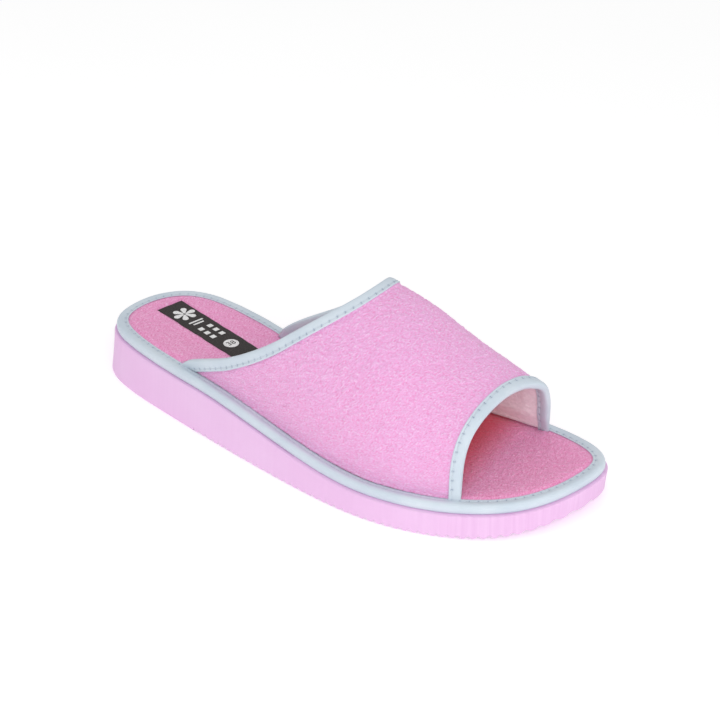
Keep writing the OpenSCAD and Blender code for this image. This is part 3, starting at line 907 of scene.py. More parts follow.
def build_sole(form):
    """Foam wedge: a die-cut wall that flares out under the heel, and a ribbed tread."""
    s = form.s
    line = form.outline
    front = -s.sole_len / 2 + TREAD_FRONT
    ribs = math.floor((0.25 * s.sole_len - front) / s.rib_pitch)
    cuts = front + s.rib_pitch * (np.arange(ribs)[:, None] + RIB_SHARES).ravel()
    cuts = np.concatenate([cuts, [front + ribs * s.rib_pitch]])
    extra = np.arange(cuts[-1] + 3 * MM, s.sole_len / 2 - MM, 3 * MM)
    cuts = np.concatenate([cuts, extra])
    n = len(line)
    heel, toe = int(np.argmax(line[:, 1])), int(np.argmin(line[:, 1]))
    outer = line[(heel + np.arange((toe - heel) % n + 1)) % n]
    inner = line[(toe + np.arange((heel - toe) % n + 1)) % n]

    def with_cuts(side):
        low, high = side[:, 1].min(), side[:, 1].max()
        order = side[np.argsort(side[:, 1])]
        mine = cuts[(cuts > low + 0.01 * MM) & (cuts < high - 0.01 * MM)]
        mine = mine[np.abs(mine[:, None] - side[:, 1]).min(1) > 0.02 * MM]
        added = np.stack([np.interp(mine, order[:, 1], order[:, 0]), mine], 1)
        both = np.concatenate([side, added])
        return both[np.argsort(-both[:, 1], kind="stable")]

    outer, inner = with_cuts(outer), with_cuts(inner)[::-1]
    rim = np.concatenate([outer, inner[1:-1]])
    count = len(rim)
    away = unit(np.roll(rim, -1, 0) - np.roll(rim, 1, 0))
    away = np.stack([away[:, 1], -away[:, 0]], 1)
    place = rim[:, 1] / s.sole_len
    flare = s.heel_flare * (0.5 + 0.5 * ease((place - 0.3) / 0.2)
                            - 0.95 * ease((-place - 0.36) / 0.13))
    run = run_along(rim)
    wobble = 0.08 * MM * (np.sin(run * 310) + np.sin(run * 173 + 1) + np.sin(run * 71 + 2))
    points, uv, tread = [], [], []
    low, high = form.sole_bottom(rim[:, 1]), form.sole_top(rim[:, 1])
    for share in WALL_RISE:
        edge = min(share, 1 - share)
        tuck = 0.45 * MM * max(0.0, 1 - edge / 0.035) ** 2
        out = flare * (1 - share) ** 1.3 - tuck + wobble * 4 * share * (1 - share)
        ring = rim + away * out[:, None]
        z = low + (high - low) * share
        points.append(np.column_stack([ring, z]))
        uv.append(np.column_stack([run, z]))
        tread.append(np.full(count, max(0.0, 1 - share / 0.3)))
    points, uv, tread = (np.concatenate(v) for v in (points, uv, tread))
    rings = len(WALL_RISE)
    cut = 0.2 + 0.8 * ease((-points[:, 1] / s.sole_len - 0.2) / 0.2)
    faces = loop_faces(rings, count, False)[:-2]
    last_outer = len(outer) - 1
    strips = []
    inner_ids = [last_outer + k for k in range(len(inner) - 1)] + [0]
    inner_y = np.append(rim[inner_ids[:-1], 1], rim[0, 1])
    stops = np.concatenate([[rim[last_outer, 1]], np.sort(cuts), [rim[0, 1]]])
    slack = 0.021 * MM
    for a, b in zip(stops[:-1], stops[1:]):
        left = [k for k in range(len(outer)) if a - slack <= rim[k, 1] <= b + slack]
        right = [k for k, y in zip(inner_ids, inner_y) if a - slack <= y <= b + slack]
        corner = list(dict.fromkeys(left + right))
        if len(corner) > 2:
            strips.append(corner)
    faces += [strip[::-1] for strip in strips]
    top = (rings - 1) * count
    faces += [[top + k for k in strip] for strip in strips]
    sole = mesh_piece("sole", points, faces, foam_finish(), uv, {"tread": tread, "cut": cut})
    applied(sole, tree_from(tread_tree), {
        "Rib pitch": s.rib_pitch, "Notch power": NOTCH_POWER, "Groove depth": s.groove_depth,
        "Tread front": front, "Tread back": front + ribs * s.rib_pitch,
        "Material": sole.data.materials[0]})
    soften(sole, 35)
    return finish_piece(sole, "sole_foam", "outsole")


# ---------- footbed ----------

RIM_PUFF = 1.0 * MM
FOOTBED_ROUND = 176
FOOTBED_LONG = 424
EVERY = 4


def footbed_grid(form, nu, nv, border):
    """Stations across a footbed outline drawn in by a border: x, y arrays of nu by nv."""
    outer, inner = form.sides(form.inset(border))
    low, high = outer[:, 1].min() + 0.15 * MM, outer[:, 1].max() - 0.15 * MM
    t = np.linspace(0, 1, nv)
    share = 0.62 * t + 0.38 * (1 - np.cos(math.pi * t)) / 2
    y = low + (high - low) * share
    x_out = np.interp(y, outer[:, 1], outer[:, 0])
    x_in = np.interp(y, inner[:, 1], inner[:, 0])
    u = np.linspace(0, 1, nu)[:, None]
    return x_out + (x_in - x_out) * u, np.broadcast_to(y, (nu, nv))


def label_frame(form):
    """Start, direction along and direction across of the label, from the heel end."""
    turn = math.radians(180 - LABEL_TURN)
    start = np.array([0.30 * form.s.sole_w, 0.427 * form.s.sole_len])
    return start, np.array([-math.sin(turn), math.cos(turn)]), \
        np.array([math.cos(turn), math.sin(turn)])


def edge_distance(form, x, y):
    """Distance from points to the sole's outline."""
    outline = form.outline[::4]
    flat = np.stack([x.ravel(), y.ravel()], 1)
    best = np.full(len(flat), 1e9)
    for block in np.array_split(outline, 24):
        gap = np.linalg.norm(flat[:, None] - block[None], axis=-1).min(1)
        best = np.minimum(best, gap)
    return best.reshape(x.shape)


def build_footbed(form, pile):
    """Terry over thin foam, a little crowned, and pressed flat under the label and the tape."""
    s = form.s
    nu, nv = FOOTBED_ROUND + 1, FOOTBED_LONG + 1
    border = SETBACK + TAPE_T + 2 * GAP
    x, y = footbed_grid(form, nu, nv, border)
    z = form.footbed_top(y)
    far = edge_distance(form, x, y) - SETBACK - s.edge_tape_w
    free = ease(far / (1.6 * MM))
    start, along, across = label_frame(form)
    from_label = np.stack([x - start[0], y - start[1]], -1)
    down, side = from_label @ along, from_label @ across
    outside = np.maximum(np.maximum(-down, down - s.label_len), np.abs(side) - s.label_w / 2)
    loose = ease(outside / (2.5 * MM) + 0.4)
    swell = np.zeros((nu, nv))
    cu, cv = FOOTBED_ROUND // 8 + 1, FOOTBED_LONG // 8 + 1
    cx, cy = footbed_grid(form, cu, cv, border + s.edge_tape_w)
    front = np.stack([cx, cy, form.footbed_top(cy)], -1)
    back = front - [0, 0, FOOTBED_TERRY_T + FOOTBED_FOAM_T]
    swell = spread(swollen(front, back, 0.3 * s.puff), nu, nv)
    loops = sample_map(pile, x, y)
    worn = 0.12 * MM * (np.sin(x * 90 + 1) * np.sin(y * 55) + np.sin(x * 50 + y * 70))
    sewn = beside_upper(form, np.stack([x.ravel(), y.ravel()], 1)).reshape(x.shape)
    clear = 1 - sewn * (1 - ease((far - 2 * MM) / (8 * MM)))
    rim = RIM_PUFF * ease(far / (2.2 * MM)) * (1 - 0.75 * ease((far - 2.5 * MM) / (14 * MM)))
    top = z - 0.2 * MM * free + (swell + worn + rim) * free * loose * clear \
        - 0.62 * MM * sewn * (1 - ease((far - MM) / (2.5 * MM))) \
        + 0.3 * s.pile_height * loops * free * (0.1 + 0.9 * loose)
    top = np.where(outside < 0.5 * MM, np.minimum(top, z - 0.02 * MM), top)
    front = np.stack([x, y, top], -1).reshape(-1, 3)
    bx, by = x[::EVERY, ::EVERY], y[::EVERY, ::EVERY]
    back = np.stack([bx, by, form.sole_top(by) + form.terry_z], -1).reshape(-1, 3)
    # Loop height for the terry's colour: painted shade where low, painted highlight where high.
    mark = np.concatenate([np.clip(0.5 + 0.22 * loops, 0, 1).ravel(), np.full(len(back), 0.3)])
    uv = np.concatenate([front[:, :2], back[:, :2]])
    material = terry_finish("footbed terry", tuple(colours().footbed),
                            tuple(colours().footbed_loop_shade), 0.25)
    station = uv[:, 1] / s.sole_len
    # Painted shade and painted reflected light where the upper's toe covers the footbed: a strong
    # band from 0.335 to 0.02 of the length in front of the middle, and a faint tint towards the
    # toe.
    painted_toe_shade = (0.07 * ease((-station - 0.1) / 0.2) + 0.84 * ease((station + 0.335) / 0.085)
               * (1 - ease((station + 0.14) / 0.12)))
    piece = mesh_piece("footbed", np.concatenate([front, back]), padded_faces(nu, nv, EVERY),
                       material, uv, {"pile": mark, "painted_toe_shade": painted_toe_shade})
    return finish_piece(piece, "footbed_terry", "footbed_terry")


# ---------- upper ----------

UPPER_ROUND, UPPER_LONG = 352, 224
FOAM_ROUND, FOAM_LONG = 120, 80
LINING_ROUND, LINING_LONG = 240, 160


def upper_grid(form, nu, nv):
    a = np.linspace(*ARCH_ENDS, nu)[:, None]
    share = np.linspace(0, 1, nv)[None]
    a, share = np.broadcast_arrays(a, share)
    return form.band_y(a, share), a


def upper_pile_place(points):
    """Distances round and along the upper, in metres, for its pile."""
    mid = points.shape[1] // 2
    gap_round = np.linalg.norm(np.diff(points, axis=0), axis=-1).mean(1)
    gap_along = np.linalg.norm(np.diff(points, axis=1), axis=-1)
    start = np.zeros((points.shape[0], 1))
    along = np.concatenate([start, np.cumsum(gap_along, axis=1)], 1)
    along = along - along[:, mid:mid + 1]
    around = np.concatenate([[0], np.cumsum(gap_round)])[:, None]
    return around + 0 * along + 0.05, along + 0.15


def upper_swell(form, nu, nv):
    """Padding of the upper between its taped edges, from the cloth's simulation."""
    cu, cv = UPPER_ROUND // 8 + 1, UPPER_LONG // 8 + 1
    y, a = upper_grid(form, cu, cv)
    skin, out = form.skin(y, a), form.skin_normal(y, a)
    rise = swollen(skin, skin - form.vamp_t * out, form.s.puff)
    return spread(rise, nu, nv)


EDGE_PRESS = 0.66
FOOT_PRESS = 0.4


def pressed(from_edge, from_foot):
    """Share of the upper's thickness that is left near its taped edges and sewn feet."""
    edge = EDGE_PRESS + (1 - EDGE_PRESS) * ease((from_edge - 3 * MM) / (9 * MM))
    return edge * (FOOT_PRESS + (1 - FOOT_PRESS) * ease(from_foot / (9 * MM)))


def layer_press(points):
    """pressed() over a grid of the upper, from the throat to the toe opening."""
    from_edge = np.minimum(np.linalg.norm(points - points[:, :1], axis=-1),
                           np.linalg.norm(points - points[:, -1][:, None], axis=-1))
    from_foot = np.minimum(np.linalg.norm(points - points[:1], axis=-1),
                           np.linalg.norm(points - points[-1][None], axis=-1))
    return pressed(from_edge, from_foot)[..., None]


def taped_share(form, points):
    """0 under the tape at the throat and the toe, 1 clear of it."""
    def from_edge(j):
        return np.linalg.norm(points - points[:, j][:, None], axis=-1)
    gap = np.minimum(from_edge(0), from_edge(-1)) - (form.s.upper_tape_w - TAPE_ROLL)
    return ease(gap / (2.2 * MM) + 0.1)


def build_upper(form, pile):
    """Outer terry, foam and lining of the upper, in one arch from side to side."""
    s = form.s
    nu, nv = UPPER_ROUND + 1, UPPER_LONG + 1
    y, a = upper_grid(form, nu, nv)
    skin, out = form.skin(y, a), form.skin_normal(y, a)
    loose = taped_share(form, skin)
    around, along = upper_pile_place(skin)
    up_from_foot = np.minimum(around - around[0, 0], around[-1, 0] - around)
    held = ease(up_from_foot / (4.5 * MM))
    tuck = 0.3 * MM * np.exp(-((up_from_foot - 1.4 * MM) / MM) ** 2) \
        - 0.45 * MM * np.exp(-(up_from_foot / (0.5 * MM)) ** 2)
    swell = upper_swell(form, nu, nv)
    start_low = 0.55 * s.puff
    drape = 0.25 * MM * (np.sin(around * 95 + along * 40) * np.sin(along * 62 + 1)
                         + np.sin(around * 41 - along * 77 + 2))
    loops = sample_map(pile, around, along)
    press = layer_press(skin)
    lift = np.maximum((swell - start_low + drape) * loose * held,
                      -0.5 * TERRY_T * press[..., 0]) - tuck \
        + 0.34 * s.pile_height * loops * (0.15 + 0.85 * loose)
    front = (skin + out * lift[..., None]).reshape(-1, 3)
    back_y, back_a = y[::EVERY, ::EVERY], a[::EVERY, ::EVERY]
    back = (form.skin(back_y, back_a) - TERRY_T * press[::EVERY, ::EVERY]
            * form.skin_normal(back_y, back_a)).reshape(-1, 3)
    # Loop height for the terry's colour: painted shade where low, painted highlight where high.
    mark = np.concatenate([np.clip(0.5 + 0.22 * loops, 0, 1).ravel(), np.full(len(back), 0.3)])
    place = np.stack([around, along], -1)
    uv = np.concatenate([place.reshape(-1, 2), place[::EVERY, ::EVERY].reshape(-1, 2)])
    material = terry_finish("upper terry", tuple(colours().terry), tuple(colours().terry_loop_shade),
                            0.3)
    terry = mesh_piece("upper_terry", np.concatenate([front, back]),
                       padded_faces(nu, nv, EVERY), material, uv, {"pile": mark})
    finish_piece(terry, "upper_terry", "vamp_terry")

    y, a = upper_grid(form, FOAM_ROUND + 1, FOAM_LONG + 1)
    skin, out = form.skin(y, a), form.skin_normal(y, a)
    out = out * layer_press(skin)
    depth = TERRY_T + GAP
    foam = mesh_piece(
        "upper_foam",
        np.concatenate([(skin - depth * out).reshape(-1, 3),
                        (skin - (depth + FOAM_T) * out)[::EVERY, ::EVERY].reshape(-1, 3)]),
        padded_faces(FOAM_ROUND + 1, FOAM_LONG + 1, EVERY),
        finish_named("white foam", white_foam_finish))
    finish_piece(foam, "white_foam", "vamp_foam")

    nu, nv = LINING_ROUND + 1, LINING_LONG + 1
    y, a = upper_grid(form, nu, nv)
    skin, out = form.skin(y, a), form.skin_normal(y, a)
    loose = taped_share(form, skin)
    around, along = upper_pile_place(skin)
    nap = sample_map(pile, around * 0.8 + 0.02, along * 0.8)
    sag = 0.3 * MM * (1 + np.sin(around * 120) * np.sin(along * 90 + 1)) + 0.12 * MM * nap
    out = out * layer_press(skin)
    inside = skin - out * (form.vamp_t + sag * loose)[..., None]
    depth += FOAM_T + GAP
    behind = (skin - depth * out)[::EVERY, ::EVERY]
    uv = np.stack([around, along], -1)
    lining = mesh_piece(
        "upper_lining", np.concatenate([inside.reshape(-1, 3), behind.reshape(-1, 3)]),
        padded_faces(nu, nv, EVERY), lining_finish(),
        np.concatenate([uv.reshape(-1, 2), uv[::EVERY, ::EVERY].reshape(-1, 2)]))
    finish_piece(lining, "lining", "vamp_lining")


# ---------- tapes ----------

RINGS_A_STITCH = 8
END_RINGS = 9


def needle_holes(run, total, pitch_count):
    """1 at the needle holes between stitches, falling to 0 away from them."""
    pitch = total / pitch_count
    k = np.round(run / pitch)
    gap = np.abs(run - k * pitch)
    return np.exp(-(gap / (0.45 * MM)) ** 2)


def seam_line(form, closed_line, height):
    return np.column_stack([closed_line, form.sole_top(closed_line[:, 1]) + height])


def edge_stitch_count(form):
    seam = form.inset(SETBACK + form.s.edge_tape_w - SEAM_INSET)
    line = seam_line(form, seam, 0)
    return math.floor(run_along(np.concatenate([line, line[:1]]))[-1] / form.s.stitch_pitch)


def beside_upper(form, place):
    """1 where the edge tape runs beside the upper's foot, falling to 0 past its ends."""
    outer = place[:, 0] < 0
    result = np.zeros(len(place))
    for a, side in ((0, outer), (180, ~outer)):
        low, high = form.edge_station(a, True), form.edge_station(a, False)
        inside = (ease((place[:, 1] - low) / (8 * MM) + 0.3)
                  * ease((high - place[:, 1]) / (8 * MM) + 0.3))
        result = np.where(side, inside, result)
    return result


def build_edge_tape(form):
    """Tape folded round the edge of the footbed: padded side, sewn channel and inner lip."""
    s = form.s
    stitches = edge_stitch_count(form)
    seam = form.inset(SETBACK + s.edge_tape_w - SEAM_INSET)
    seam3 = seam_line(form, seam, form.edge_top)
    chain = np.concatenate([seam3, seam3[:1]])
    run = run_along(chain)
    count = stitches * RINGS_A_STITCH
    at = np.arange(count) / count * run[-1]
    where = np.interp(at, run, np.arange(len(chain)))
    base = form.inset(SETBACK)
    base = np.concatenate([base, base[:1]])
    outline = np.stack([np.interp(where, np.arange(len(base)), base[:, k]) for k in (0, 1)], 1)
    along = unit(np.roll(outline, -1, 0) - np.roll(outline, 1, 0))
    inward = np.stack([-along[:, 1], along[:, 0]], 1)
    holes_and_painted_shade = needle_holes(at, run[-1], stitches)
    w = s.edge_tape_w / MM
    top = form.edge_top / MM
    seam_d = w - SEAM_INSET / MM
    # distance in from the tape's side, height over the wedge, share of the hole's dimple and of its
    # painted shade
    section = np.array([
        [w - 0.3, 0.52, 0], [w - 2.2, 0.5, 0], [1.6, 0.34, 0], [0.75, 0.14, 0], [0.3, 0.3, 0],
        [0.05, 0.75, 0], [-0.14, 1.5, 0], [-0.2, 2.4, 0], [-0.1, 3.2, 0], [0.2, 3.95, 0],
        [0.65, 4.45, 0], [1.25, top + 0.02, 0], [2.0, top + 0.08, 0], [2.8, top + 0.02, 0],
        [seam_d - 0.75, top - 0.04, 0.1], [seam_d - 0.35, top - 0.12, 0.6],
        [seam_d, top - 0.17, 1], [seam_d + 0.35, top - 0.1, 0.6],
        [seam_d + 0.7, top + 0.02, 0.1], [w - 0.3, top + 0.04, 0], [w - 0.05, top - 0.06, 0],
        [w, top - 0.3, 0], [w - 0.12, form.footbed_z / MM + 0.06, 0],
        [w - 1.6, form.footbed_z / MM + 0.06, 0], [0.62, 4.1, 0], [0.45, 2.4, 0],
        [0.55, 0.86, 0], [w - 0.4, 0.86, 0]])
    outer_half = 24
    sway = 0.1 * (np.sin(at * 130) + np.sin(at * 57 + 2)) + 0.05 * np.sin(at * 411)
    points = np.empty((count, len(section), 3))
    marks = np.zeros((count, len(section)))
    run_across = run_along(section[:, :2]) * MM
    y_base = outline[:, 1]
    beside = beside_upper(form, outline)
    for k, (d, h, dimple) in enumerate(section):
        dip = beside * ease((d - 1.6) / (w - 2.2)) * (1.0 if 9 < k < 22 else 0.0)
        soft = 1.0 if k < outer_half else 0.0
        side = max(0.0, 1 - d / 3) * soft
        d = d - side * 0.5 * sway + (0.25 * sway + 0.24 * beside if k in (19, 20, 21) else 0)
        h = h + soft * sway * 0.35 * (d > 0.3) * (h > 3.5) - dimple * holes_and_painted_shade * 0.3 - 0.5 * dip
        place = outline + inward * (d * MM)[:, None]
        points[:, k, :2] = place
        points[:, k, 2] = form.sole_top(place[:, 1] * 0.9 + y_base * 0.1) + h * MM
        # Painted shade in the needle holes and stitch channel, and on the strip beside the upper's
        # foot where the upper shades the tape.
        marks[:, k] = np.clip(dimple * holes_and_painted_shade * 0.9 + 0.08 * dimple + 0.3 * dip, 0, 1)
    uv = np.stack(np.broadcast_arrays(at[:, None], run_across[None]), -1)
    piece = mesh_piece("insole_edge_tape", points.reshape(-1, 3),
                       loop_faces(count, len(section), True), tape_material(),
                       uv.reshape(-1, 2), {"holes_and_painted_shade": marks.ravel()})
    return finish_piece(piece, "tape", "insole_binding")


def upper_seam(form, is_toe, inset_depth):
    """Stations, angles and points of a stitch line along a taped edge of the upper."""
    a = np.linspace(1.0, 179.0, 357)
    y = form.edge_station(a, is_toe)
    y, a = form.walk(y, a, form.edge_inward(a, is_toe), inset_depth)
    return y, a, form.skin(y, a)


def build_upper_tape(form, name, is_toe, replaced):
    """Tape rolled round an edge of the upper, sewn through on a line inside its lip."""
    s = form.s
    flange = s.upper_tape_w - TAPE_ROLL
    pitch = s.toe_stitch_pitch if is_toe else s.stitch_pitch
    seam_at = flange - SEAM_INSET
    _, _, seam = upper_seam(form, is_toe, seam_at)
    run = run_along(seam)
    stitches = math.floor(run[-1] / pitch)
    count = stitches * RINGS_A_STITCH + 1
    at = np.linspace(0, run[-1], count)
    a = np.interp(at, run, np.linspace(1.0, 179.0, 357))
    a[0], a[-1] = ARCH_ENDS
    y = form.edge_station(a, is_toe)
    into, up, edge = form.edge_inward(a, is_toe), form.skin_normal(y, a), form.skin(y, a)
    holes_and_painted_shade = needle_holes(at, run[-1], stitches)
    sway = 0.1 * MM * (np.sin(at * 140) + np.sin(at * 61 + 2))
    gap = 0.1 * MM
    t = TAPE_T
    from_foot = np.minimum(at, run[-1] - at)
    edge_t = form.vamp_t * pressed(0, from_foot)
    # distance in from the cut edge, height over the skin, share of the hole's dimple and of its
    # painted shade
    outer = [
        (flange, gap + 0.1 * MM, 0), (flange + 0.04 * MM, gap + 0.35 * MM, 0),
        (flange - 0.18 * MM, gap + t + 0.02 * MM, 0), (flange - 0.5 * MM, gap + t + 0.06 * MM, 0),
        (seam_at + 0.35 * MM, gap + t - 0.02 * MM, 0.6), (seam_at, gap + t - 0.06 * MM, 1),
        (seam_at - 0.35 * MM, gap + t - 0.01 * MM, 0.6),
        (seam_at - 0.8 * MM, gap + t + 0.05 * MM, 0.1),
        (seam_at - 1.5 * MM, gap + t + 0.13 * MM, 0), (seam_at - 2.3 * MM, gap + t + 0.15 * MM, 0),
        (0.6 * MM, gap + t + 0.1 * MM, 0), (0.15 * MM, gap + t, 0)]
    rings, marks = [], []

    def flat(distance, height, dimple, face):
        if distance > 0:
            wy, wa = form.walk(y, a, into, distance)
        else:
            wy, wa = y, a
        drop = dimple * holes_and_painted_shade * 0.35 * MM
        wave = (0.35 if distance < flange - 0.6 * MM else 0.1) * sway
        point, normal = form.skin(wy, wa), form.skin_normal(wy, wa)
        depth = form.vamp_t * pressed(distance, from_foot)
        lift = height - drop + wave if face > 0 else -depth - height + drop
        rings.append(point + normal * np.broadcast_to(lift, len(a))[:, None])
        # Painted shade in the needle holes and the stitch channel.
        marks.append(np.clip(dimple * holes_and_painted_shade * 0.95 + 0.04 * dimple, 0, 1))

    for distance, height, dimple in outer:
        flat(distance, height, dimple, 1)
    close = (0.35 + 0.65 * ease(from_foot / (12 * MM)))[:, None]
    radius = (edge_t / 2 + gap + t)[:, None]
    middle_t = edge_t[:, None] / 2
    for turn in (65, 40, 15, -15, -40, -65):
        c, n = math.cos(math.radians(turn)), math.sin(math.radians(turn))
        reach = (gap + t + ROLL_REACH * close + 0.3 * sway[:, None]) * c
        rings.append(edge - reach * into + (-middle_t + radius * n) * up)
        marks.append(np.zeros(count))
    for distance, height, dimple in outer[::-1]:
        flat(distance, height, dimple, -1)
    folds = (flange - 0.2 * MM, 1.6 * MM)
    for distance in folds:
        flat(distance, gap * 0.6, 0, -1)
    for turn in (-60, 0, 60):
        c, n = math.cos(math.radians(turn)), math.sin(math.radians(turn))
        reach = (gap + ROLL_REACH * close) * c
        rings.append(edge - reach * into + (-middle_t + (middle_t + gap) * n) * up)
        marks.append(np.zeros(count))
    for distance in folds[::-1]:
        flat(distance, gap * 0.6, 0, 1)
    points = np.stack(rings, 1)
    for ring in range(END_RINGS):
        sunk = (1 - ring / END_RINGS) ** 1.5
        points[ring] += np.array([-0.6, 0, -1.5]) * sunk * MM
        points[-1 - ring] += np.array([0.6, 0, -1.5]) * sunk * MM
    across = run_along(points[count // 2])
    uv = np.stack(np.broadcast_arrays(at[:, None], across[None]), -1)
    piece = mesh_piece(name, points.reshape(-1, 3), loop_faces(count, points.shape[1], False),
                       tape_material(), uv.reshape(-1, 2), {"holes_and_painted_shade": np.stack(marks, 1).ravel()})
    return finish_piece(piece, "tape", replaced)


# ---------- stitches ----------

def stitch_row(name, places, along, up, replaced, length, sizes_now):
    """One row of stitches from its middle points and directions."""
    mesh = bpy.data.meshes.new(name)
    mesh.from_pydata(places.tolist(), [], [])
    for key, values in (("along", along), ("up", up)):
        mark = mesh.attributes.new(key, "FLOAT_VECTOR", "POINT")
        mark.data.foreach_set("vector", np.asarray(values, np.float32).ravel())
    row = bpy.data.objects.new(name, mesh)
    bpy.context.scene.collection.objects.link(row)
    applied(row, tree_from(stitch_tree), {
        "Stitch length": length, "Thread thickness": sizes_now.thread_t,
        "End dip": 0.32 * MM, "Rise": 0.1 * MM, "Material": thread_material()})
    return finish_piece(row, "thread", replaced)


def row_places(points, count, closed):
    """Middles of the stitches and their directions, half a pitch from each needle hole."""
    chain = np.concatenate([points, points[:1]]) if closed else points
    run = run_along(chain)
    pitch = run[-1] / count
    at = (np.arange(count) + 0.5) * pitch

    def on(distance):
        return np.stack([np.interp(distance, run, chain[:, k]) for k in range(3)], 1)

    along = unit(on(at + 0.4 * pitch) - on(at - 0.4 * pitch))
    return on(at), along, np.interp(at, run, np.arange(len(chain))), pitch


def build_stitches(form):
    s = form.s
    count = edge_stitch_count(form)
    seam = form.inset(SETBACK + s.edge_tape_w - SEAM_INSET)
    for name, height, replaced in (
            ("edge_stitches_top", form.edge_top - 0.1 * MM, "insole_needle_thread"),
            ("edge_stitches_under", 0.22 * MM, "insole_bobbin_thread")):
        places, along, _, pitch = row_places(seam_line(form, seam, height), count, True)
        up = np.broadcast_to([0.0, 0.0, 1.0], places.shape)
        up = unit(up - along * (along * up).sum(-1, keepdims=True))
        if "under" in name:
            up = -up
        else:
            places = places - 0.42 * MM * beside_upper(form, places)[:, None] * [0, 0, 1]
        stitch_row(name, places, along, up, replaced, 0.93 * pitch, s)
    inset_depth = s.upper_tape_w - TAPE_ROLL - SEAM_INSET
    for is_toe, word, pitch in ((False, "throat", s.stitch_pitch),
                                (True, "toe", s.toe_stitch_pitch)):
        y, a, seam = upper_seam(form, is_toe, inset_depth)
        run = np.linalg.norm(np.diff(seam, axis=0), axis=1).sum()
        count = math.floor(run / pitch)
        out = form.skin_normal(y, a)
        for name, sign, replaced in ((word + "_stitches", 1, word + "_needle_thread"),
                                     (word + "_stitches_inside", -1, word + "_bobbin_thread")):
            places, along, rows, pitch_now = row_places(seam, count, False)
            up = np.stack([np.interp(rows, np.arange(len(out)), out[:, k]) for k in range(3)], 1)
            up = unit(up - along * (along * up).sum(-1, keepdims=True))
            lift = TAPE_T + 0.08 * MM
            if sign < 0:
                from_foot = np.minimum(np.arange(count) + 0.5, count - np.arange(count) - 0.5)
                depth = form.vamp_t * pressed(inset_depth, from_foot * pitch_now)
                lift = -(depth + TAPE_T + 0.08 * MM)[:, None]
            stitch_row(name, places + up * lift, along, up * sign, replaced, 0.93 * pitch_now, s)


# ---------- size label ----------

def build_label(form):
    """Thin printed label on the heel, following the footbed."""
    s = form.s
    start, along, across = label_frame(form)
    nu, nv = 13, 61
    side = np.linspace(-s.label_w / 2, s.label_w / 2, nu)[:, None]
    down = np.linspace(0, s.label_len, nv)[None]
    side, down = np.broadcast_arrays(side, down)
    edge = 0.12 * MM * (np.sin(down * 700) + np.sin(down * 311 + 1))
    side = side + edge * np.sign(side) * (np.abs(side) / (s.label_w / 2)) ** 6
    down = down + 0.12 * MM * np.sin(side * 900) * (2 * down / s.label_len - 1) ** 7
    flat = start + down[..., None] * along + side[..., None] * across
    bottom = form.footbed_top(flat[..., 1]) + GAP
    thick = 0.33 * MM
    round_off = 0.12 * MM * np.maximum(
        (np.abs(side) / (s.label_w / 2)) ** 24, np.abs(2 * down / s.label_len - 1) ** 60)
    top = np.concatenate([flat, (bottom + thick - round_off)[..., None]], -1).reshape(-1, 3)
    under = np.concatenate([flat, bottom[..., None]], -1)[::EVERY, ::EVERY].reshape(-1, 3)
    uv = np.stack([side, down], -1)
    label = mesh_piece("size_label_cloth", np.concatenate([top, under]),
                       padded_faces(nu, nv, EVERY), label_finish(),
                       np.concatenate([uv.reshape(-1, 2), uv[::EVERY, ::EVERY].reshape(-1, 2)]))
    soften(label, 50)
    finish_piece(label, "label", "size_label")
    for node in ("label_print", "size_disc"):
        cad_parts[node].material_slots[0].material = finish_named("print", print_finish)
    build_digits(form, start, along, across)


DISC_DOWN = 48.5 * MM


def build_digits(form, start, along, across):
    """The size number on its disc."""
    words = bpy.data.curves.new("size_digits", "FONT")
    words.body = "38"
    words.size = 4.6 * MM
    words.align_x, words.align_y = "CENTER", "CENTER"
    words.extrude = 0.03 * MM
    holder = bpy.data.objects.new("size_digits", words)
    bpy.context.scene.collection.objects.link(holder)
    mesh = bpy.data.meshes.new_from_object(
        holder.evaluated_get(bpy.context.evaluated_depsgraph_get()))
    bpy.data.objects.remove(holder)
    co = np.empty(len(mesh.vertices) * 3)
    mesh.vertices.foreach_get("co", co)
    co = co.reshape(-1, 3)
    middle = start + along * DISC_DOWN
    flat = middle + co[:, :1] * -across + co[:, 1:2] * -along
    z = form.footbed_top(flat[:, 1]) + GAP * 2 + 0.35 * MM + 0.14 * MM + co[:, 2]
    mesh.vertices.foreach_set("co", np.column_stack([flat, z]).ravel())
    mesh.materials.clear()
    mesh.materials.append(digit_finish())
    mesh.update()
    digits = bpy.data.objects.new("size_digits", mesh)
    bpy.context.scene.collection.objects.link(digits)
    finish_piece(digits, "label")


# ---------- stage ----------

def build_stage():
    half, steps = 3.0, 8
    grid = np.linspace(-half, half, steps + 1)
    x, y = np.meshgrid(grid, grid, indexing="ij")
    points = np.stack([x, y, 0 * x], -1).reshape(-1, 3)
    i, j = np.meshgrid(np.arange(steps), np.arange(steps), indexing="ij")
    corner = i * (steps + 1) + j
    faces = np.stack([corner, corner + steps + 1, corner + steps + 2, corner + 1], -1)
    mesh = bpy.data.meshes.new("floor")
    mesh.from_pydata(points.tolist(), [], faces.reshape(-1, 4).tolist())
    mesh.materials.append(floor_finish())
    floor = bpy.data.objects.new("floor", mesh)
    bpy.context.scene.collection.objects.link(floor)


def soft_light(name, place, aim, size, power):
    light = bpy.data.lights.new(name, "AREA")
    light.size = size
    light.energy = power
    holder = bpy.data.objects.new(name, light)
    holder.location = place
    turn_to(holder, aim)
    bpy.context.scene.collection.objects.link(holder)


def turn_to(holder, aim):
    look = Vector(aim) - Vector(holder.location)
    holder.rotation_euler = look.to_track_quat("-Z", "Y").to_euler()


CAMERA_PLACE = (-0.84683, -0.46774, 0.61231)
CAMERA_AIM = (0.0452, 0.0129, 0.015)
CAMERA_LENS = 124.24


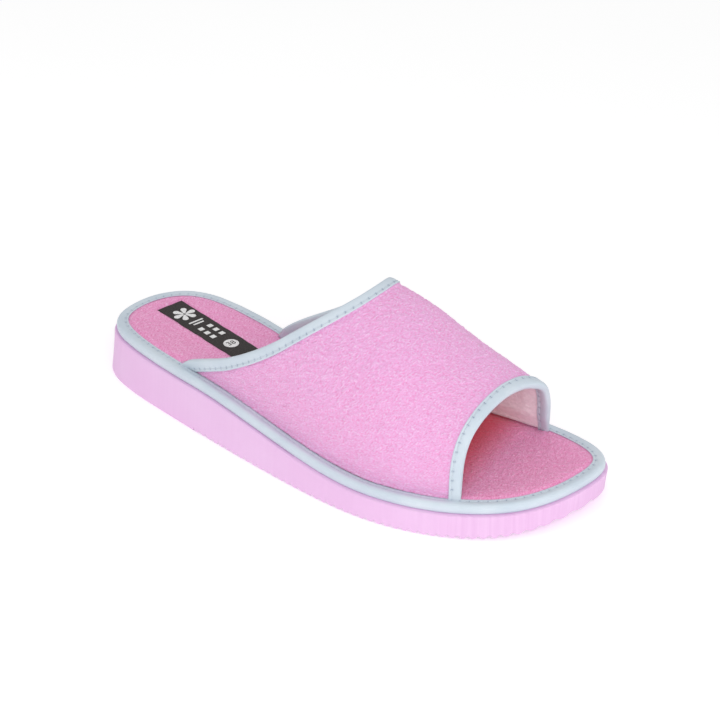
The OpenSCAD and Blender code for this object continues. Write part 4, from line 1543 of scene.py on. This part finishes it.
def build_lights_and_camera():
    scene = bpy.context.scene
    world = bpy.data.worlds.new("studio")
    world.use_nodes = True
    world.node_tree.nodes["Background"].inputs["Color"].default_value = (1, 1, 1, 1)
    world.node_tree.nodes["Background"].inputs["Strength"].default_value = 0.6
    scene.world = world
    soft_light("key", (-0.7, -0.9, 1.2), (0, 0, 0.03), 1.0, 3.3)
    soft_light("top", (0.3, 0.2, 1.5), (0, 0, 0.03), 1.4, 2.5)
    soft_light("fill", (-0.8, -0.45, 0.5), (0, -0.02, 0.03), 0.5, 2.2)
    soft_light("back", (-0.65, 0.8, 0.6), (0, 0.05, 0.03), 0.6, 1.0)
    soft_light("inner", (-0.12, -0.36, 0.13), (0.01, -0.07, 0.03), 0.1, 0.085)
    camera = bpy.data.cameras.new("camera")
    camera.lens = CAMERA_LENS
    camera.sensor_width = 36
    camera.clip_start = 0.05
    holder = bpy.data.objects.new("camera", camera)
    holder.location = CAMERA_PLACE
    turn_to(holder, CAMERA_AIM)
    scene.collection.objects.link(holder)
    scene.camera = holder
    scene.view_settings.view_transform = "Standard"


# ---------- operators ----------

class SLIPPER_OT_sole(bpy.types.Operator):
    """Build the ribbed foam wedge"""
    bl_idname = "slipper.sole"
    bl_label = "Build sole"

    def execute(self, context):
        build_sole(SlipperForm(sizes()))
        return {"FINISHED"}


class SLIPPER_OT_footbed(bpy.types.Operator):
    """Build the padded footbed and finish the board and foam under it"""
    bl_idname = "slipper.footbed"
    bl_label = "Build footbed"

    def execute(self, context):
        build_footbed(SlipperForm(sizes()), terry_pile(FOOTBED_PILE_SEED))
        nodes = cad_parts
        nodes["insole_board"].material_slots[0].material = board_finish()
        foam = finish_named("white foam", white_foam_finish)
        nodes["footbed_foam"].material_slots[0].material = foam
        return {"FINISHED"}


class SLIPPER_OT_upper(bpy.types.Operator):
    """Build the upper's terry, foam and lining"""
    bl_idname = "slipper.upper"
    bl_label = "Build upper"

    def execute(self, context):
        build_upper(SlipperForm(sizes()), terry_pile(UPPER_PILE_SEED))
        return {"FINISHED"}


class SLIPPER_OT_tapes(bpy.types.Operator):
    """Build the tapes round the footbed, the throat and the toe opening"""
    bl_idname = "slipper.tapes"
    bl_label = "Build tapes"

    def execute(self, context):
        form = SlipperForm(sizes())
        build_edge_tape(form)
        build_upper_tape(form, "throat_tape", False, "throat_binding")
        build_upper_tape(form, "toe_tape", True, "toe_binding")
        return {"FINISHED"}


class SLIPPER_OT_stitches(bpy.types.Operator):
    """Sew every tape with its needle and bobbin threads"""
    bl_idname = "slipper.stitches"
    bl_label = "Sew stitches"

    def execute(self, context):
        build_stitches(SlipperForm(sizes()))
        return {"FINISHED"}


class SLIPPER_OT_label(bpy.types.Operator):
    """Bond the printed size label to the heel"""
    bl_idname = "slipper.label"
    bl_label = "Build size label"

    def execute(self, context):
        build_label(SlipperForm(sizes()))
        return {"FINISHED"}


class SLIPPER_OT_stage(bpy.types.Operator):
    """Set out the floor, the lights and the camera"""
    bl_idname = "slipper.stage"
    bl_label = "Set stage"

    def execute(self, context):
        build_stage()
        build_lights_and_camera()
        return {"FINISHED"}


OPERATORS = (SLIPPER_OT_sole, SLIPPER_OT_footbed, SLIPPER_OT_upper, SLIPPER_OT_tapes,
             SLIPPER_OT_stitches, SLIPPER_OT_label, SLIPPER_OT_stage)


class SLIPPER_PT_pieces(bpy.types.Panel):
    """Sizes, colours and pieces of the slipper"""
    bl_label = "Terry slipper"
    bl_space_type = "VIEW_3D"
    bl_region_type = "UI"
    bl_category = "Slipper"

    def draw(self, context):
        for group in (context.scene.slipper_sizes, context.scene.slipper_colours):
            box = self.layout.box()
            for key in group.__annotations__:
                box.prop(group, key)
        for operator in OPERATORS:
            self.layout.operator(operator.bl_idname)


CLASSES = (SlipperSizes, SlipperColours, *OPERATORS, SLIPPER_PT_pieces)


def register():
    for kind in CLASSES:
        bpy.utils.register_class(kind)
    bpy.types.Scene.slipper_sizes = PointerProperty(type=SlipperSizes)
    bpy.types.Scene.slipper_colours = PointerProperty(type=SlipperColours)


def unregister():
    del bpy.types.Scene.slipper_sizes
    del bpy.types.Scene.slipper_colours
    for kind in reversed(CLASSES):
        bpy.utils.unregister_class(kind)


def main():
    register()
    bpy.ops.slipper.sole()
    bpy.ops.slipper.footbed()
    bpy.ops.slipper.upper()
    bpy.ops.slipper.tapes()
    bpy.ops.slipper.stitches()
    bpy.ops.slipper.label()
    bpy.ops.slipper.stage()


if __name__ == "__main__":
    main()
